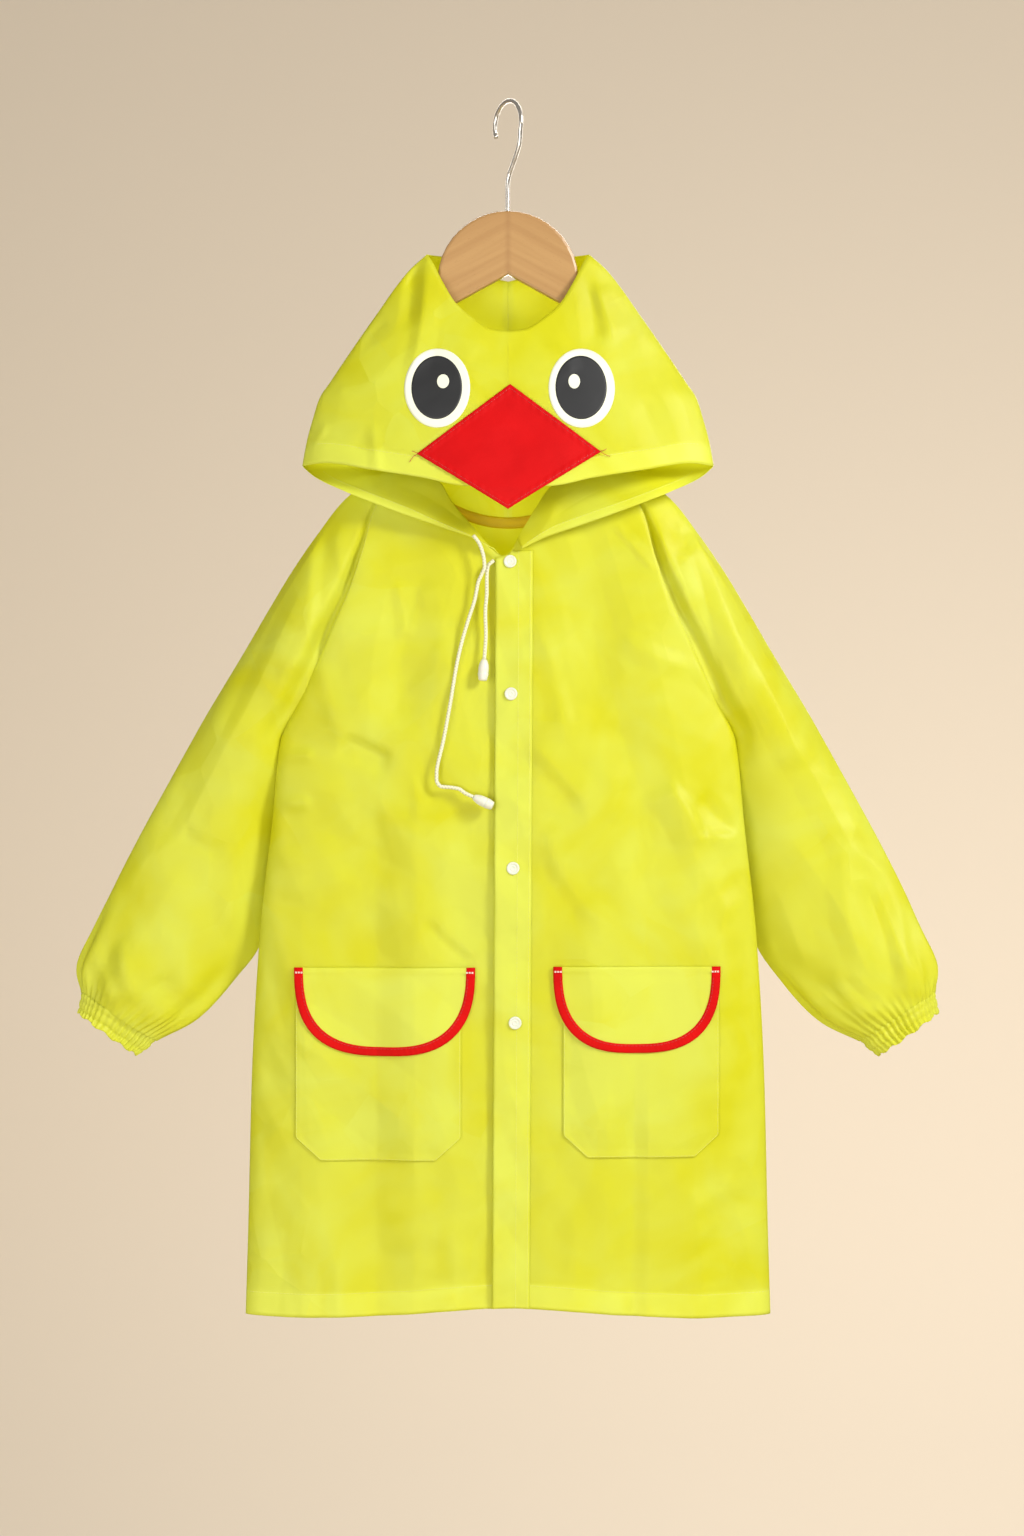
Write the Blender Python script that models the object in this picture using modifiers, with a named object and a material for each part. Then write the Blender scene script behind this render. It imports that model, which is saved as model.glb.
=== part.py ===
"""A child's hooded raincoat hanging by its hood on a wooden hanger.

The origin is the inner crown of the hanger's hook. The coat faces -Y, and left and right are the wearer's,
so the right half lies at -X. Tables and driving dimensions are in millimetres. Every panel is a grid bent
over a surface function of (u, v), both from 0 to 1, and given its thickness by a Solidify modifier.
"""

import math

import bmesh
import bpy
import numpy as np
from mathutils import Matrix, Vector

MM = 0.001

# Driving dimensions, in millimetres.
CLOTH = 1.2
SEAM_GAP = 0.3
LAP = CLOTH + 0.6
FOLD_GAP = 0.55
PLACKET_WIDTH = 33.0
PLACKET_TOP = -396.5
SNAP_DIAMETER = 11.4
SNAP_RISE = 2.2
BINDING_WIDTH = 8.0
CORD_DIAMETER = 3.2
WIRE_DIAMETER = 3.8
HOOK_RADIUS = 21.3
HOOK_TURN = math.radians(33)
HANGER_THICKNESS = 12.0
CUFF_GATHERS = 20
CUFF_GATHER_DEPTH = 1.5
# How square and how full the body, the sleeves and the hood's front are across.
BODY_SQUARENESS, BODY_FULLNESS = 2.6, 1 / 2.2
SLEEVE_FULLNESS = 0.62
HOOD_SQUARENESS, HOOD_FULLNESS = 2.0, 0.6
# Powers that crowd a panel's columns or rows towards its edges.
FRONT_COLUMN_POWER = 1.35
BACK_COLUMN_POWER = 1.45
HOOD_ROW_POWER = 1.5
HOOD_FRONT_COLUMN_POWER = 1.25

RIGHT, LEFT = -1, 1
SIDE_NAMES = {RIGHT: "right", LEFT: "left"}


def table(names, *rows):
    """A table of rows as named columns."""
    return dict(zip(names.split(), np.array(rows, float).T))


def read(rows, column, at, key="height"):
    """A smooth curve through a table's column that never overshoots it, at any values of its key column."""
    keys, values = rows[key], rows[column]
    if keys[0] > keys[-1]:
        keys, values = keys[::-1], values[::-1]
    at = np.clip(at, keys[0], keys[-1])
    rises = np.diff(values) / np.diff(keys)
    product = rises[:-1] * rises[1:]
    between = np.where(product > 0, 2 * product / np.where(product > 0, rises[:-1] + rises[1:], 1), 0)
    slopes = np.concatenate([rises[:1], between, rises[-1:]])
    i = np.clip(np.searchsorted(keys, at) - 1, 0, len(keys) - 2)
    step = keys[i + 1] - keys[i]
    t = (at - keys[i]) / step
    start = values[i] + step * slopes[i] * t * (1 - t) ** 2 + (values[i + 1] - values[i]) * t * t * (3 - 2 * t)
    return start - step * slopes[i + 1] * t * t * (1 - t)


def blend(a, b, share):
    return a + (b - a) * share


def smooth(share):
    share = np.clip(share, 0, 1)
    return share * share * (3 - 2 * share)


# The largest folds, each a chord seen from the front: from its start to its end, how far it bows sideways, how
# far it rises from the cloth, and how wide it is on its left and its right going from the start to the end.
FOLD_COLUMNS = "start_x start_z end_x end_z bow rise left right"
FOLD_FADE = 0.22
FRONT_FOLDS = {
    RIGHT: table(
        FOLD_COLUMNS,
        (-66, -392, -96, -570, -10, -2.6, 26, 30),
        (-115, -520, -115, -1180, 0, -3.0, 62, 36),
        (-160, -562, -96, -583, 2, -2.0, 24, 24),
        (-214, -602, -160, -598, 2, 1.8, 24, 24),
        (-78, -716, -26, -766, -3, -2.2, 26, 24),
        (-200, -745, -178, -850, 6, 1.2, 24, 26),
    ),
    LEFT: table(
        FOLD_COLUMNS,
        (111, -820, 111, -1180, 0, -1.8, 26, 26),
        (20, -452, 48, -566, 6, 1.6, 24, 24),
        (16, -566, 84, -700, 14, 2.0, 26, 26),
        (138, -590, 176, -662, 3, 2.6, 28, 24),
        (88, -540, 132, -700, 10, -1.5, 26, 30),
        (160, -490, 212, -566, 6, 1.3, 24, 24),
    ),
}
BACK_FOLDS = table(
    FOLD_COLUMNS,
    (-96, -420, -112, -1180, -6, -3.2, 42, 32),
    (104, -560, 108, -1180, 4, -2.6, 30, 44),
    (8, -380, 2, -700, 3, 1.6, 26, 26),
    (-212, -600, -150, -590, 3, 1.8, 24, 24),
    (214, -630, 150, -620, -3, 1.8, 24, 24),
    (-30, -720, -40, -1180, 4, 1.5, 28, 26),
)
SLEEVE_FRONT_FOLDS = {
    RIGHT: table(
        FOLD_COLUMNS,
        (-172, -372, -174, -520, -2, 6.0, 34, 20),
        (-178, -420, -292, -652, 0, 1.5, 20, 22),
        (-344, -694, -270, -652, 6, 1.6, 20, 18),
        (-330, -700, -318, -775, 6, -2.0, 20, 22),
        (-346, -738, -318, -806, -2, 3.0, 18, 16),
    ),
    LEFT: table(
        FOLD_COLUMNS,
        (164, -372, 216, -500, -2, 6.0, 26, 34),
        (204, -470, 308, -668, 4, 4.6, 26, 32),
        (300, -648, 326, -782, -14, 3.4, 20, 22),
        (240, -640, 324, -770, 5, 1.8, 20, 20),
        (344, -668, 352, -796, 3, 2.6, 18, 16),
        (164, -396, 190, -540, 4, -3.0, 18, 20),
    ),
}
SLEEVE_BACK_FOLDS = table(
    FOLD_COLUMNS,
    (166, -376, 200, -510, 3, 4.0, 24, 30),
    (196, -480, 262, -610, 4, 3.2, 24, 26),
    (256, -590, 330, -790, -4, 2.6, 22, 22),
)
HOOD_FRONT_FOLDS = table(
    FOLD_COLUMNS,
    (-72, -126, -88, -252, 5, 3.2, 18, 20),
    (-98, -150, -112, -240, 3, -1.6, 18, 20),
    (76, -160, 92, -222, 2, 2.8, 18, 26),
    (132, -232, 162, -304, 6, 1.4, 20, 22),
)
HOOD_BACK_FOLDS = table(
    FOLD_COLUMNS,
    (-60, -160, -100, -300, 6, 3.0, 22, 24),
    (64, -160, 96, -290, -6, 2.8, 24, 22),
    (-30, -230, -34, -350, 4, 1.6, 20, 20),
    (28, -250, 36, -356, -4, 1.6, 20, 20),
)
# The share of a panel's half width over which its folds die out towards its edge.
FOLD_EDGE_RUN = 0.14


def folds(rows, x, z):
    """How far the folds together raise the cloth at a point, seen from the front."""
    total = 0.0
    for i in range(len(rows["rise"])):
        row = (rows[name][i] for name in FOLD_COLUMNS.split())
        start_x, start_z, end_x, end_z, bow, rise, left, right = row
        run_x, run_z = end_x - start_x, end_z - start_z
        length = math.hypot(run_x, run_z)
        along = ((x - start_x) * run_x + (z - start_z) * run_z) / length**2
        aside = ((z - start_z) * run_x - (x - start_x) * run_z) / length - 4 * bow * along * (1 - along)
        near = smooth(1 - np.abs(aside) / np.where(aside < 0, left, right))
        total = total + rise * near * smooth(along / FOLD_FADE) * smooth((1 - along) / FOLD_FADE)
    return total


def away_from_edge(share):
    return 1 - smooth((share - 1 + FOLD_EDGE_RUN) / FOLD_EDGE_RUN)


# The body: its half width, and how far its middle and its outer edge stand before and behind the plane of the
# hanger. Above the armpit the outer edge is the raglan seam, and below it the side fold.
BODY = table(
    "height half_width front front_edge back back_edge",
    (-320, 88, 13, 9, 24, 8),
    (-359, 117, 17, 13, 31, 12),
    (-400, 129, 20, 16, 33, 14),
    (-435, 141, 22, 16, 33, 13),
    (-470, 157, 24, 14, 32, 12),
    (-499, 170, 26, 11, 31, 10),
    (-530, 184.5, 27, 7, 30, 6),
    (-566, 201.5, 28, FOLD_GAP, 29, FOLD_GAP),
    (-635, 208.5, 29, FOLD_GAP, 28, FOLD_GAP),
    (-740, 219.8, 30, FOLD_GAP, 27, FOLD_GAP),
    (-863, 226.6, 31, FOLD_GAP, 26, FOLD_GAP),
    (-986, 229.5, 32, FOLD_GAP, 26, FOLD_GAP),
    (-1073, 232, 33, FOLD_GAP, 26, FOLD_GAP),
)
# The outer edge of a front or of the back, from the neck down to the hem.
OUTER_EDGE = table(
    "level half_width height",
    (0.00, 92, -327),
    (0.06, 117, -359),
    (0.13, 129, -400),
    (0.19, 141, -435),
    (0.24, 157, -470),
    (0.28, 170, -499),
    (0.32, 184.5, -530),
    (0.36, 201.5, -566),
    (0.44, 208.5, -635),
    (0.58, 219.8, -740),
    (0.74, 226.6, -863),
    (0.89, 229.5, -986),
    (1.00, 232, -1071),
)
# The neck's edge on each front, by distance from the middle towards that side.
NECK_FRONT = {
    RIGHT: table(
        "across height",
        (-34, -406), (-5, -404), (7, -401), (33, -374), (51, -352), (59, -338), (72, -331), (92, -327),
    ),
    LEFT: table(
        "across height",
        (-13, -404), (0, -400), (11, -382), (25, -359), (38, -341), (60, -332), (92, -327),
    ),
}
NECK_BACK_DIP = 43.0
NECK_BACK_HEIGHT = -327.0
# The hem's height by distance from the middle: the fronts are cut a little shorter there.
HEM = table("across height", (0, -1062), (50, -1065), (100, -1069), (180, -1072), (232, -1071))
FRONT_INNER_EDGE = {RIGHT: (-24.0, -31.0), LEFT: (-11.0, -14.0)}
UNDERLAP_EDGE = -14.0
UNDERLAP_DEPTH = 3.4
UNDERLAP_RUN = 50.0
# Powers by which the neck's and the back's curves die out down a panel, and the hem's dies out up it.
EDGE_CURVE_POWER = 6
BACK_DIP_POWER = 3


def body_width(z):
    return read(BODY, "half_width", z)


def body_depth(x, z, face):
    """How far the front or the back of the coat stands from the hanger's plane, without a sign."""
    share = np.clip(np.abs(x) / body_width(z), 0, 1)
    edge = read(BODY, face + "_edge", z)
    return edge + (read(BODY, face, z) - edge) * (1 - share**BODY_SQUARENESS) ** BODY_FULLNESS


def plain_front_y(x, z):
    return -body_depth(x, z, "front")


def front_y(x, z):
    """The left front's surface with its folds, and the right front's too away from its underlap."""
    raised = np.where(x < UNDERLAP_EDGE, folds(FRONT_FOLDS[RIGHT], x, z), folds(FRONT_FOLDS[LEFT], x, z))
    return plain_front_y(x, z) - raised * away_from_edge(np.abs(x) / body_width(z))


def right_front_y(x, z):
    return front_y(x, z) + UNDERLAP_DEPTH * smooth(1 + (x - UNDERLAP_EDGE) / UNDERLAP_RUN)


def back_y(x, z):
    return body_depth(x, z, "back") + folds(BACK_FOLDS, x, z) * away_from_edge(np.abs(x) / body_width(z))


def front_surface(side):
    inner_top, inner_bottom = FRONT_INNER_EDGE[side]
    neck = NECK_FRONT[side]

    def point(u, v):
        share = 1 - (1 - u) ** FRONT_COLUMN_POWER
        width, height = read(OUTER_EDGE, "half_width", v, "level"), read(OUTER_EDGE, "height", v, "level")
        across = blend(blend(inner_top, inner_bottom, v), width, share)
        top_across = blend(inner_top, OUTER_EDGE["half_width"][0], share)
        top_middle = neck["height"][0]
        level_row = blend(blend(top_middle, HEM["height"][0], v), height, smooth(share))
        top_row = blend(top_middle, OUTER_EDGE["height"][0], smooth(share))
        to_neck = read(neck, "height", top_across, "across") - top_row
        hem_row = blend(HEM["height"][0], HEM["height"][-1], smooth(share))
        to_hem = read(HEM, "height", abs(across), "across") - hem_row
        z = level_row + to_neck * (1 - v) ** EDGE_CURVE_POWER + to_hem * v**EDGE_CURVE_POWER
        x = side * across
        y = front_y(x, z) if side == LEFT else right_front_y(x, z)
        return x, y, z

    return point


def back_surface(u, v):
    along = 2 * u - 1
    share = math.copysign(1 - (1 - abs(along)) ** BACK_COLUMN_POWER, along)
    width, height = read(OUTER_EDGE, "half_width", v, "level"), read(OUTER_EDGE, "height", v, "level")
    x = share * width
    dip = NECK_BACK_DIP * (1 - share * share)
    z = height - dip * (1 - v) ** BACK_DIP_POWER
    return x, back_y(x, z), z


def neck_back(side, share):
    """The back's neck edge, from the raglan corner at 0 to the middle at 1."""
    across = OUTER_EDGE["half_width"][0] * (1 - share)
    z = NECK_BACK_HEIGHT - NECK_BACK_DIP * (1 - (1 - share) ** 2)
    x = side * across
    return x, body_depth(x, z, "back"), z


# The sleeve, by its station from the neck to the wrist: the front seam or underarm fold, the outer fold, and how
# far the sheets swell from the line between them. From the armpit on, both seams are the underarm.
SLEEVE = table(
    "station in_x in_z in_y out_x out_z out_y swell_front swell_back trough",
    (0.00, 92, -327, 0, 100, -322, 0, 1, 1, 0),
    (0.07, 117, -359, 0, 142, -349, 1, 4, 4, 3),
    (0.14, 129, -400, 0, 168, -381, 3, 8, 8, 7),
    (0.21, 141, -435, 0, 191, -414, 6, 13, 12, 9),
    (0.28, 157, -470, 0, 213, -450, 9, 17, 15, 9),
    (0.34, 170, -499, 0, 233, -484, 12, 20, 18, 8),
    (0.40, 184.5, -530, 0, 250, -512, 14, 22, 20, 6),
    (0.46, 205.5, -567, 2, 267, -540, 16, 23, 22, 2),
    (0.52, 204.4, -602, 10, 284, -570, 17, 24, 24, 0),
    (0.60, 203, -650, 22, 304, -606, 18, 25, 26, 0),
    (0.70, 208, -705, 24, 327, -648, 18, 26, 27, 0),
    (0.79, 222, -748, 22, 349, -691, 18, 26, 27, 0),
    (0.87, 246, -780, 20, 368, -732, 17, 25, 26, 0),
    (0.94, 280, -814, 16, 382, -768, 16, 22, 23, 0),
    (1.00, 313, -831, 14, 379, -789, 15, 15, 15, 0),
)
ARMPIT_STATION = 0.46
TROUGH_PLACE = 0.14
TROUGH_WIDTH = 0.10
SLEEVE_COLUMNS = 20
# The sleeve's solid is made in two lengths that part at the elbow, each by the stations of its rows.
ELBOW_STATION = 0.6
ELBOW_SLIT = 0.0009
SLEEVE_LENGTHS = {
    "upper": np.append(np.linspace(0, ARMPIT_STATION, 8), (0.53, ELBOW_STATION - ELBOW_SLIT / 2)),
    "lower": np.linspace(ELBOW_STATION + ELBOW_SLIT / 2, 1, 8),
}
# How far the sleeve's raglan edges start outside the body's, and how far below the back's surface.
FRONT_SEAM_STEP = 1.0
BACK_SEAM_STEP = 2.0
BACK_SEAM_DROP = 0.5
# The shares of a sleeve's width over which its folds die out at the seam and at the outer fold.
SLEEVE_FOLD_RUNS = (0.12, 0.14)


def sleeve_surface(side, stations):
    def point(u, v):
        station = float(np.interp(v * (len(stations) - 1), range(len(stations)), stations))
        x_in, z_in, y_in, x_out, z_out, y_out, front, back, trough = (
            read(SLEEVE, name, station, "station")
            for name in "in_x in_z in_y out_x out_z out_y swell_front swell_back trough".split()
        )
        across = 1 - abs(2 * u - 1)
        share = (1 - math.cos(math.pi * across)) / 2
        on_front = u <= 0.5
        y_seam = y_in
        if station < ARMPIT_STATION - 1e-6:
            if on_front:
                y_seam = LAP - body_depth(x_in, z_in, "front")
                x_in += FRONT_SEAM_STEP
            else:
                y_seam = body_depth(x_in, z_in, "back") - BACK_SEAM_DROP
                x_in += BACK_SEAM_STEP
        x, z = blend(x_in, x_out, share), blend(z_in, z_out, share)
        y = blend(y_seam, y_out, share)
        swell = max(math.sin(math.pi * share), 0) ** SLEEVE_FULLNESS
        free = smooth(share / SLEEVE_FOLD_RUNS[0]) * smooth((1 - share) / SLEEVE_FOLD_RUNS[1])
        if on_front:
            y += trough * math.exp(-(((share - TROUGH_PLACE) / TROUGH_WIDTH) ** 2)) - front * swell
            y -= folds(SLEEVE_FRONT_FOLDS[side], side * x, z) * free
        else:
            y += back * swell + folds(SLEEVE_BACK_FOLDS, x, z) * free
        return side * x, y, z

    return point


# The cuff: an elastic casing from the sleeve's end to the rim, each end an oval given by its two side points.
CUFF = table(
    "station in_x in_z out_x out_z depth",
    (0.0, 313.6, -831.9, 379.6, -789.9, 15),
    (0.3, 319, -836, 380, -795, 13.5),
    (0.7, 325, -840, 381, -801, 13),
    (1.0, 330, -843, 381, -806, 14.5),
)
CUFF_MIDDLE_Y = 14.5
# How deep the gathers are where the cuff starts, and how much of them shows across the cuff, as shares.
CUFF_GATHER_START = 0.35
CUFF_GATHER_ACROSS = 0.45


def cuff_surface(side):
    def point(u, v):
        angle = 2 * math.pi * u
        x_in, z_in, x_out, z_out, depth = (
            read(CUFF, name, v, "station") for name in "in_x in_z out_x out_z depth".split()
        )
        wave = CUFF_GATHER_DEPTH * math.sin(CUFF_GATHERS * angle) * blend(CUFF_GATHER_START, 1, v)
        gather = 1 + wave / depth
        share = (1 - math.cos(angle) * (1 + (gather - 1) * CUFF_GATHER_ACROSS)) / 2
        return (
            side * blend(x_in, x_out, share),
            CUFF_MIDDLE_Y - depth * gather * math.sin(angle),
            blend(z_in, z_out, share),
        )

    return point


# The hood's side fold, from the crown's corner to the rim's corner.
HOOD_FOLD = table(
    "height across depth",
    (-130, 67, 0),
    (-134, 71.5, 0),
    (-148.5, 87.5, 0),
    (-190, 118, -1),
    (-229.5, 145, -4),
    (-248, 157, -7),
    (-262, 166, -10),
    (-281, 172, -12),
    (-300, 177, -14),
    (-323, 181, -17),
    (-346, 184, -18),
)
# How far the middle of the hood's front stands before the hanger's plane.
HOOD_FRONT = table(
    "height depth",
    (-130, 10), (-150, 12), (-180, 18.5), (-205, 26), (-235, 34), (-270, 43), (-310, 53), (-345, 60),
)
CROWN_FRONT = table(
    "across height",
    (0, -205), (15, -203), (32, -192), (46, -179), (58, -159), (66, -143), (71.5, -134),
)
CROWN_BACK = table("across height", (0, -156.6), (20, -152), (40, -142), (56, -135.5), (71.5, -134))
RIM_FRONT = table(
    "across height",
    (0, -345), (40, -343), (75, -335.6), (118, -328.4), (162, -321.4), (181, -323),
)
# The outer edge of the hood's lower part, round from the throat: the free edge up to the rim's corner, the side
# fold up to the crown's corner, and the crown's back edge.
HOOD_OUTER = table(
    "turn across height depth",
    (0.00, 12, -396, -25),
    (0.12, 33, -386, -27),
    (0.22, 58, -377.5, -29),
    (0.34, 101, -362.5, -30),
    (0.44, 145, -345, -27),
    (0.50, 170, -332.5, -21),
    (0.54, 181, -323, -17),
)
HOOD_SIDE_START, HOOD_SIDE_END = 0.54, 0.90
CROWN_BACK_DEPTH = 13.5
CROWN_DEPTH_POWER = 1 / 3
HOOD_FLAP_COLUMNS, HOOD_SIDE_COLUMNS, HOOD_CROWN_COLUMNS = 8, 10, 4
HOOD_ROWS = 8
HOOD_FRONT_COLUMNS = 11
HOOD_SWELL = table(
    "turn swell",
    (0.0, -1), (0.2, -3), (0.40, -3), (0.47, 2), (0.54, 12), (0.62, 18), (0.75, 22), (0.88, 20), (1.0, 17),
)
NECK_RUN = table(
    "turn across",
    (0.0, 8), (0.12, 26), (0.25, 48), (0.36, 66), (0.48, 92),
)
NECK_BACK_TURN = 0.62
HOOD_BUTT = 1.6
# Where the hood's seam changes from lapping the front to butting the sleeve, how far it stands off there, and
# how far above the sleeve's end it passes the shoulder.
BUTT_START, BUTT_RUN, BUTT_CLEARANCE = 0.36, 0.10, 0.3
SHOULDER_BUTT = 1.7 * HOOD_BUTT
HOOD_SWELL_SCALE = 2.6
# Where the hood's back starts by turn, and the shares of its way over which its folds die out.
HOOD_BACK_START, HOOD_BACK_RUN = 0.58, 0.08
HOOD_FOLD_RUNS = (0.15, 0.2)


def fold_height(turn):
    """The height of the side fold at a turn between the rim's corner and the crown's."""
    share = (turn - HOOD_SIDE_START) / (HOOD_SIDE_END - HOOD_SIDE_START)
    return blend(HOOD_OUTER["height"][-1], CROWN_BACK["height"][-1], share)


def hood_outer(side, turn):
    if turn <= HOOD_SIDE_START:
        across, z, y = (read(HOOD_OUTER, name, turn, "turn") for name in ("across", "height", "depth"))
    elif turn <= HOOD_SIDE_END:
        z = fold_height(turn)
        across, y = read(HOOD_FOLD, "across", z), read(HOOD_FOLD, "depth", z)
    else:
        share = (turn - HOOD_SIDE_END) / (1 - HOOD_SIDE_END)
        across = CROWN_BACK["across"][-1] * (1 - share)
        z = read(CROWN_BACK, "height", across, "across")
        y = CROWN_BACK_DEPTH * share**CROWN_DEPTH_POWER
    return Vector((side * max(across, SEAM_GAP / 2), y, z))


def hood_neck(side, turn):
    """The hood's seam round the neck: lapped over the fronts' edges, and butted to the sleeves and the back."""
    if turn <= NECK_RUN["turn"][-1]:
        across = read(NECK_RUN, "across", turn, "turn")
        z = read(NECK_FRONT[side], "height", across, "across")
        lift = smooth((turn - BUTT_START) / BUTT_RUN)
        y = front_y(side * across, z) - LAP - BUTT_CLEARANCE * lift
        return Vector((side * across, y, z + HOOD_BUTT * lift))
    if turn <= NECK_BACK_TURN:
        share = (turn - NECK_RUN["turn"][-1]) / (NECK_BACK_TURN - NECK_RUN["turn"][-1])
        front, back = hood_neck(side, NECK_RUN["turn"][-1]), Vector(neck_back(side, 0))
        back.z += HOOD_BUTT
        rise = 1 - abs(2 * share - 1)
        shoulder = Vector((side * SLEEVE["out_x"][0], 0, SLEEVE["out_z"][0] + SHOULDER_BUTT))
        return front.lerp(back, share).lerp(shoulder, rise)
    share = (turn - NECK_BACK_TURN) / (1 - NECK_BACK_TURN)
    x, y, z = neck_back(side, share)
    return Vector((side * max(abs(x), SEAM_GAP / 2), y, z + HOOD_BUTT))


def hood_turn(u):
    """Spreads the lower part's columns over its three stretches."""
    columns = HOOD_FLAP_COLUMNS + HOOD_SIDE_COLUMNS + HOOD_CROWN_COLUMNS
    marks = (0, HOOD_FLAP_COLUMNS / columns, (HOOD_FLAP_COLUMNS + HOOD_SIDE_COLUMNS) / columns, 1)
    return float(np.interp(u, marks, (0, HOOD_SIDE_START, HOOD_SIDE_END, 1)))


def hood_lower_surface(side):
    """From the neck's seam out to the free edge, the side fold and the crown's back edge."""

    def point(u, v):
        turn = hood_turn(u)
        out = 1 - (1 - v) ** HOOD_ROW_POWER
        place = hood_neck(side, turn).lerp(hood_outer(side, turn), out)
        swell = read(HOOD_SWELL, "swell", turn, "turn") * HOOD_SWELL_SCALE
        place.y += swell * out * math.sqrt(max(1 - out, 0))
        behind = smooth((turn - HOOD_BACK_START) / HOOD_BACK_RUN)
        inside = smooth(v / HOOD_FOLD_RUNS[0]) * smooth((1 - v) / HOOD_FOLD_RUNS[1])
        place.y += folds(HOOD_BACK_FOLDS, place.x, place.z) * behind * inside
        return place

    return point


def hood_front_y(x, z):
    width, fold = read(HOOD_FOLD, "across", z), read(HOOD_FOLD, "depth", z)
    share = np.clip(np.abs(x) / width, 0, 1)
    plain = fold + (-read(HOOD_FRONT, "depth", z) - fold) * (1 - share**HOOD_SQUARENESS) ** HOOD_FULLNESS
    return plain - folds(HOOD_FRONT_FOLDS, x, z) * away_from_edge(share)


def hood_front_surface(side):
    """From the side fold to the front seam: a patch between the fold, the crown's edge, seam and rim."""
    crown, rim = CROWN_FRONT["height"][0], RIM_FRONT["height"][0]

    def point(u, v):
        turn = blend(HOOD_SIDE_END, HOOD_SIDE_START, v)
        fold = hood_outer(side, turn)
        if u == 0:
            return fold
        share = u**HOOD_FRONT_COLUMN_POWER
        top_x = CROWN_FRONT["across"][-1] * (1 - share)
        top = Vector((side * top_x, 0, read(CROWN_FRONT, "height", top_x, "across")))
        rim_x = RIM_FRONT["across"][-1] * (1 - share)
        bottom = Vector((side * rim_x, 0, read(RIM_FRONT, "height", rim_x, "across")))
        middle = Vector((0, 0, blend(crown, rim, v)))
        ends = (hood_outer(side, HOOD_SIDE_END), hood_outer(side, HOOD_SIDE_START))
        middles = (Vector((0, 0, crown)), Vector((0, 0, rim)))
        across = fold.lerp(middle, share)
        down = top.lerp(bottom, v)
        corners = ends[0].lerp(middles[0], share).lerp(ends[1].lerp(middles[1], share), v)
        place = across + down - corners
        x = side * max(abs(place.x), SEAM_GAP / 2)
        return Vector((x, hood_front_y(x, place.z), place.z))

    return point


# The beak's four corners.
BEAK_TOP, BEAK_BOTTOM = Vector((1.8, 0, -252.8)), Vector((0, 0, -363.5))
BEAK_RIGHT, BEAK_LEFT = Vector((-79.4, 0, -314.7)), Vector((81.1, 0, -312.9))
BEAK_LIFT = LAP + 0.35


def beak_surface(u, v):
    place = BEAK_TOP.lerp(BEAK_RIGHT, u).lerp(BEAK_LEFT.lerp(BEAK_BOTTOM, u), v)
    rim = RIM_FRONT["height"][0]
    y = hood_front_y(place.x, max(place.z, rim)) - BEAK_LIFT
    return place.x, y, place.z


# The band at the back of the neck: the share of the back's neck edge that it covers, and its width.
NECK_BAND_SHARE = 0.55
NECK_BAND_WIDTH = 10.0


def placket_surface(u, v):
    x = blend(blend(*FRONT_INNER_EDGE[LEFT], v), blend(*FRONT_INNER_EDGE[LEFT], v) + PLACKET_WIDTH, u)
    top = min(read(NECK_FRONT[LEFT], "height", x, "across"), PLACKET_TOP) - 1.0
    z = blend(top, read(HEM, "height", abs(x), "across"), v)
    return x, front_y(x, z) - LAP, z


def neck_band_surface(u, v):
    share = 2 * u - 1
    x, y, z = neck_back(math.copysign(1, share), 1 - NECK_BAND_SHARE * abs(share))
    return x, y - LAP, z + NECK_BAND_WIDTH * (v - 0.5)


# The pockets by their side edges, mouth, start of the cut corners and bottom, and how far these are cut in.
POCKETS = {
    RIGHT: dict(left=-187.5, right=-41.0, mouth=-781, chamfer=-913.5, bottom=-934, cut=23.0),
    LEFT: dict(left=48.0, right=186.0, mouth=-779, chamfer=-911.0, bottom=-931, cut=22.0),
}
FLAPS = {
    RIGHT: dict(middle=-108.5, half_width=79.3, top=-764.0, drop=77.5),
    LEFT: dict(middle=113.2, half_width=73.2, top=-763.0, drop=75.5),
}
FLAP_ROUNDNESS = 2.7
FLAP_INSET = 0.3
LAYER = CLOTH + 0.8


def front_layer_y(side, x, z, layers):
    surface = front_y if side == LEFT else right_front_y
    return surface(x, z) - LAYER * layers


def pocket_surface(side):
    size = POCKETS[side]
    pocket_height = size["mouth"] - size["bottom"]

    def point(u, v):
        z = size["mouth"] - pocket_height * v
        cut = size["cut"] * np.clip((size["chamfer"] - z) / (size["chamfer"] - size["bottom"]), 0, 1)
        x = blend(size["left"] + cut, size["right"] - cut, u)
        return x, front_layer_y(side, x, z, 1), z

    return point


def flap_outline(side, angle, inset):
    """A point of the flap's rounded edge, at an angle from its left end round below to its right end."""
    size = FLAPS[side]
    power = 2 / FLAP_ROUNDNESS
    across = -math.copysign(abs(math.cos(angle)) ** power, math.cos(angle))
    down = max(math.sin(angle), 0) ** power
    return (
        size["middle"] + (size["half_width"] - inset) * across,
        size["top"] - (size["drop"] - inset) * down,
    )


def flap_surface(side):
    top = FLAPS[side]["top"]

    def point(u, v):
        x, z = flap_outline(side, math.pi * u, FLAP_INSET)
        z = blend(top, z, v)
        return x, front_layer_y(side, x, z, 2), z

    return point


def binding_surface(side):
    def point(u, v):
        angle = math.pi * u
        x, z = flap_outline(side, angle, blend(0, BINDING_WIDTH, v))
        return x, front_layer_y(side, x, z, 3), z

    return point


SNAPS = table("number across height", (1, 1.8, -407), (2, 2.6, -523.6), (3, 4.4, -676.7), (4, 6.2, -812.2))
SNAP_STAND = CLOTH / 2 + SEAM_GAP + 0.05
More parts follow.
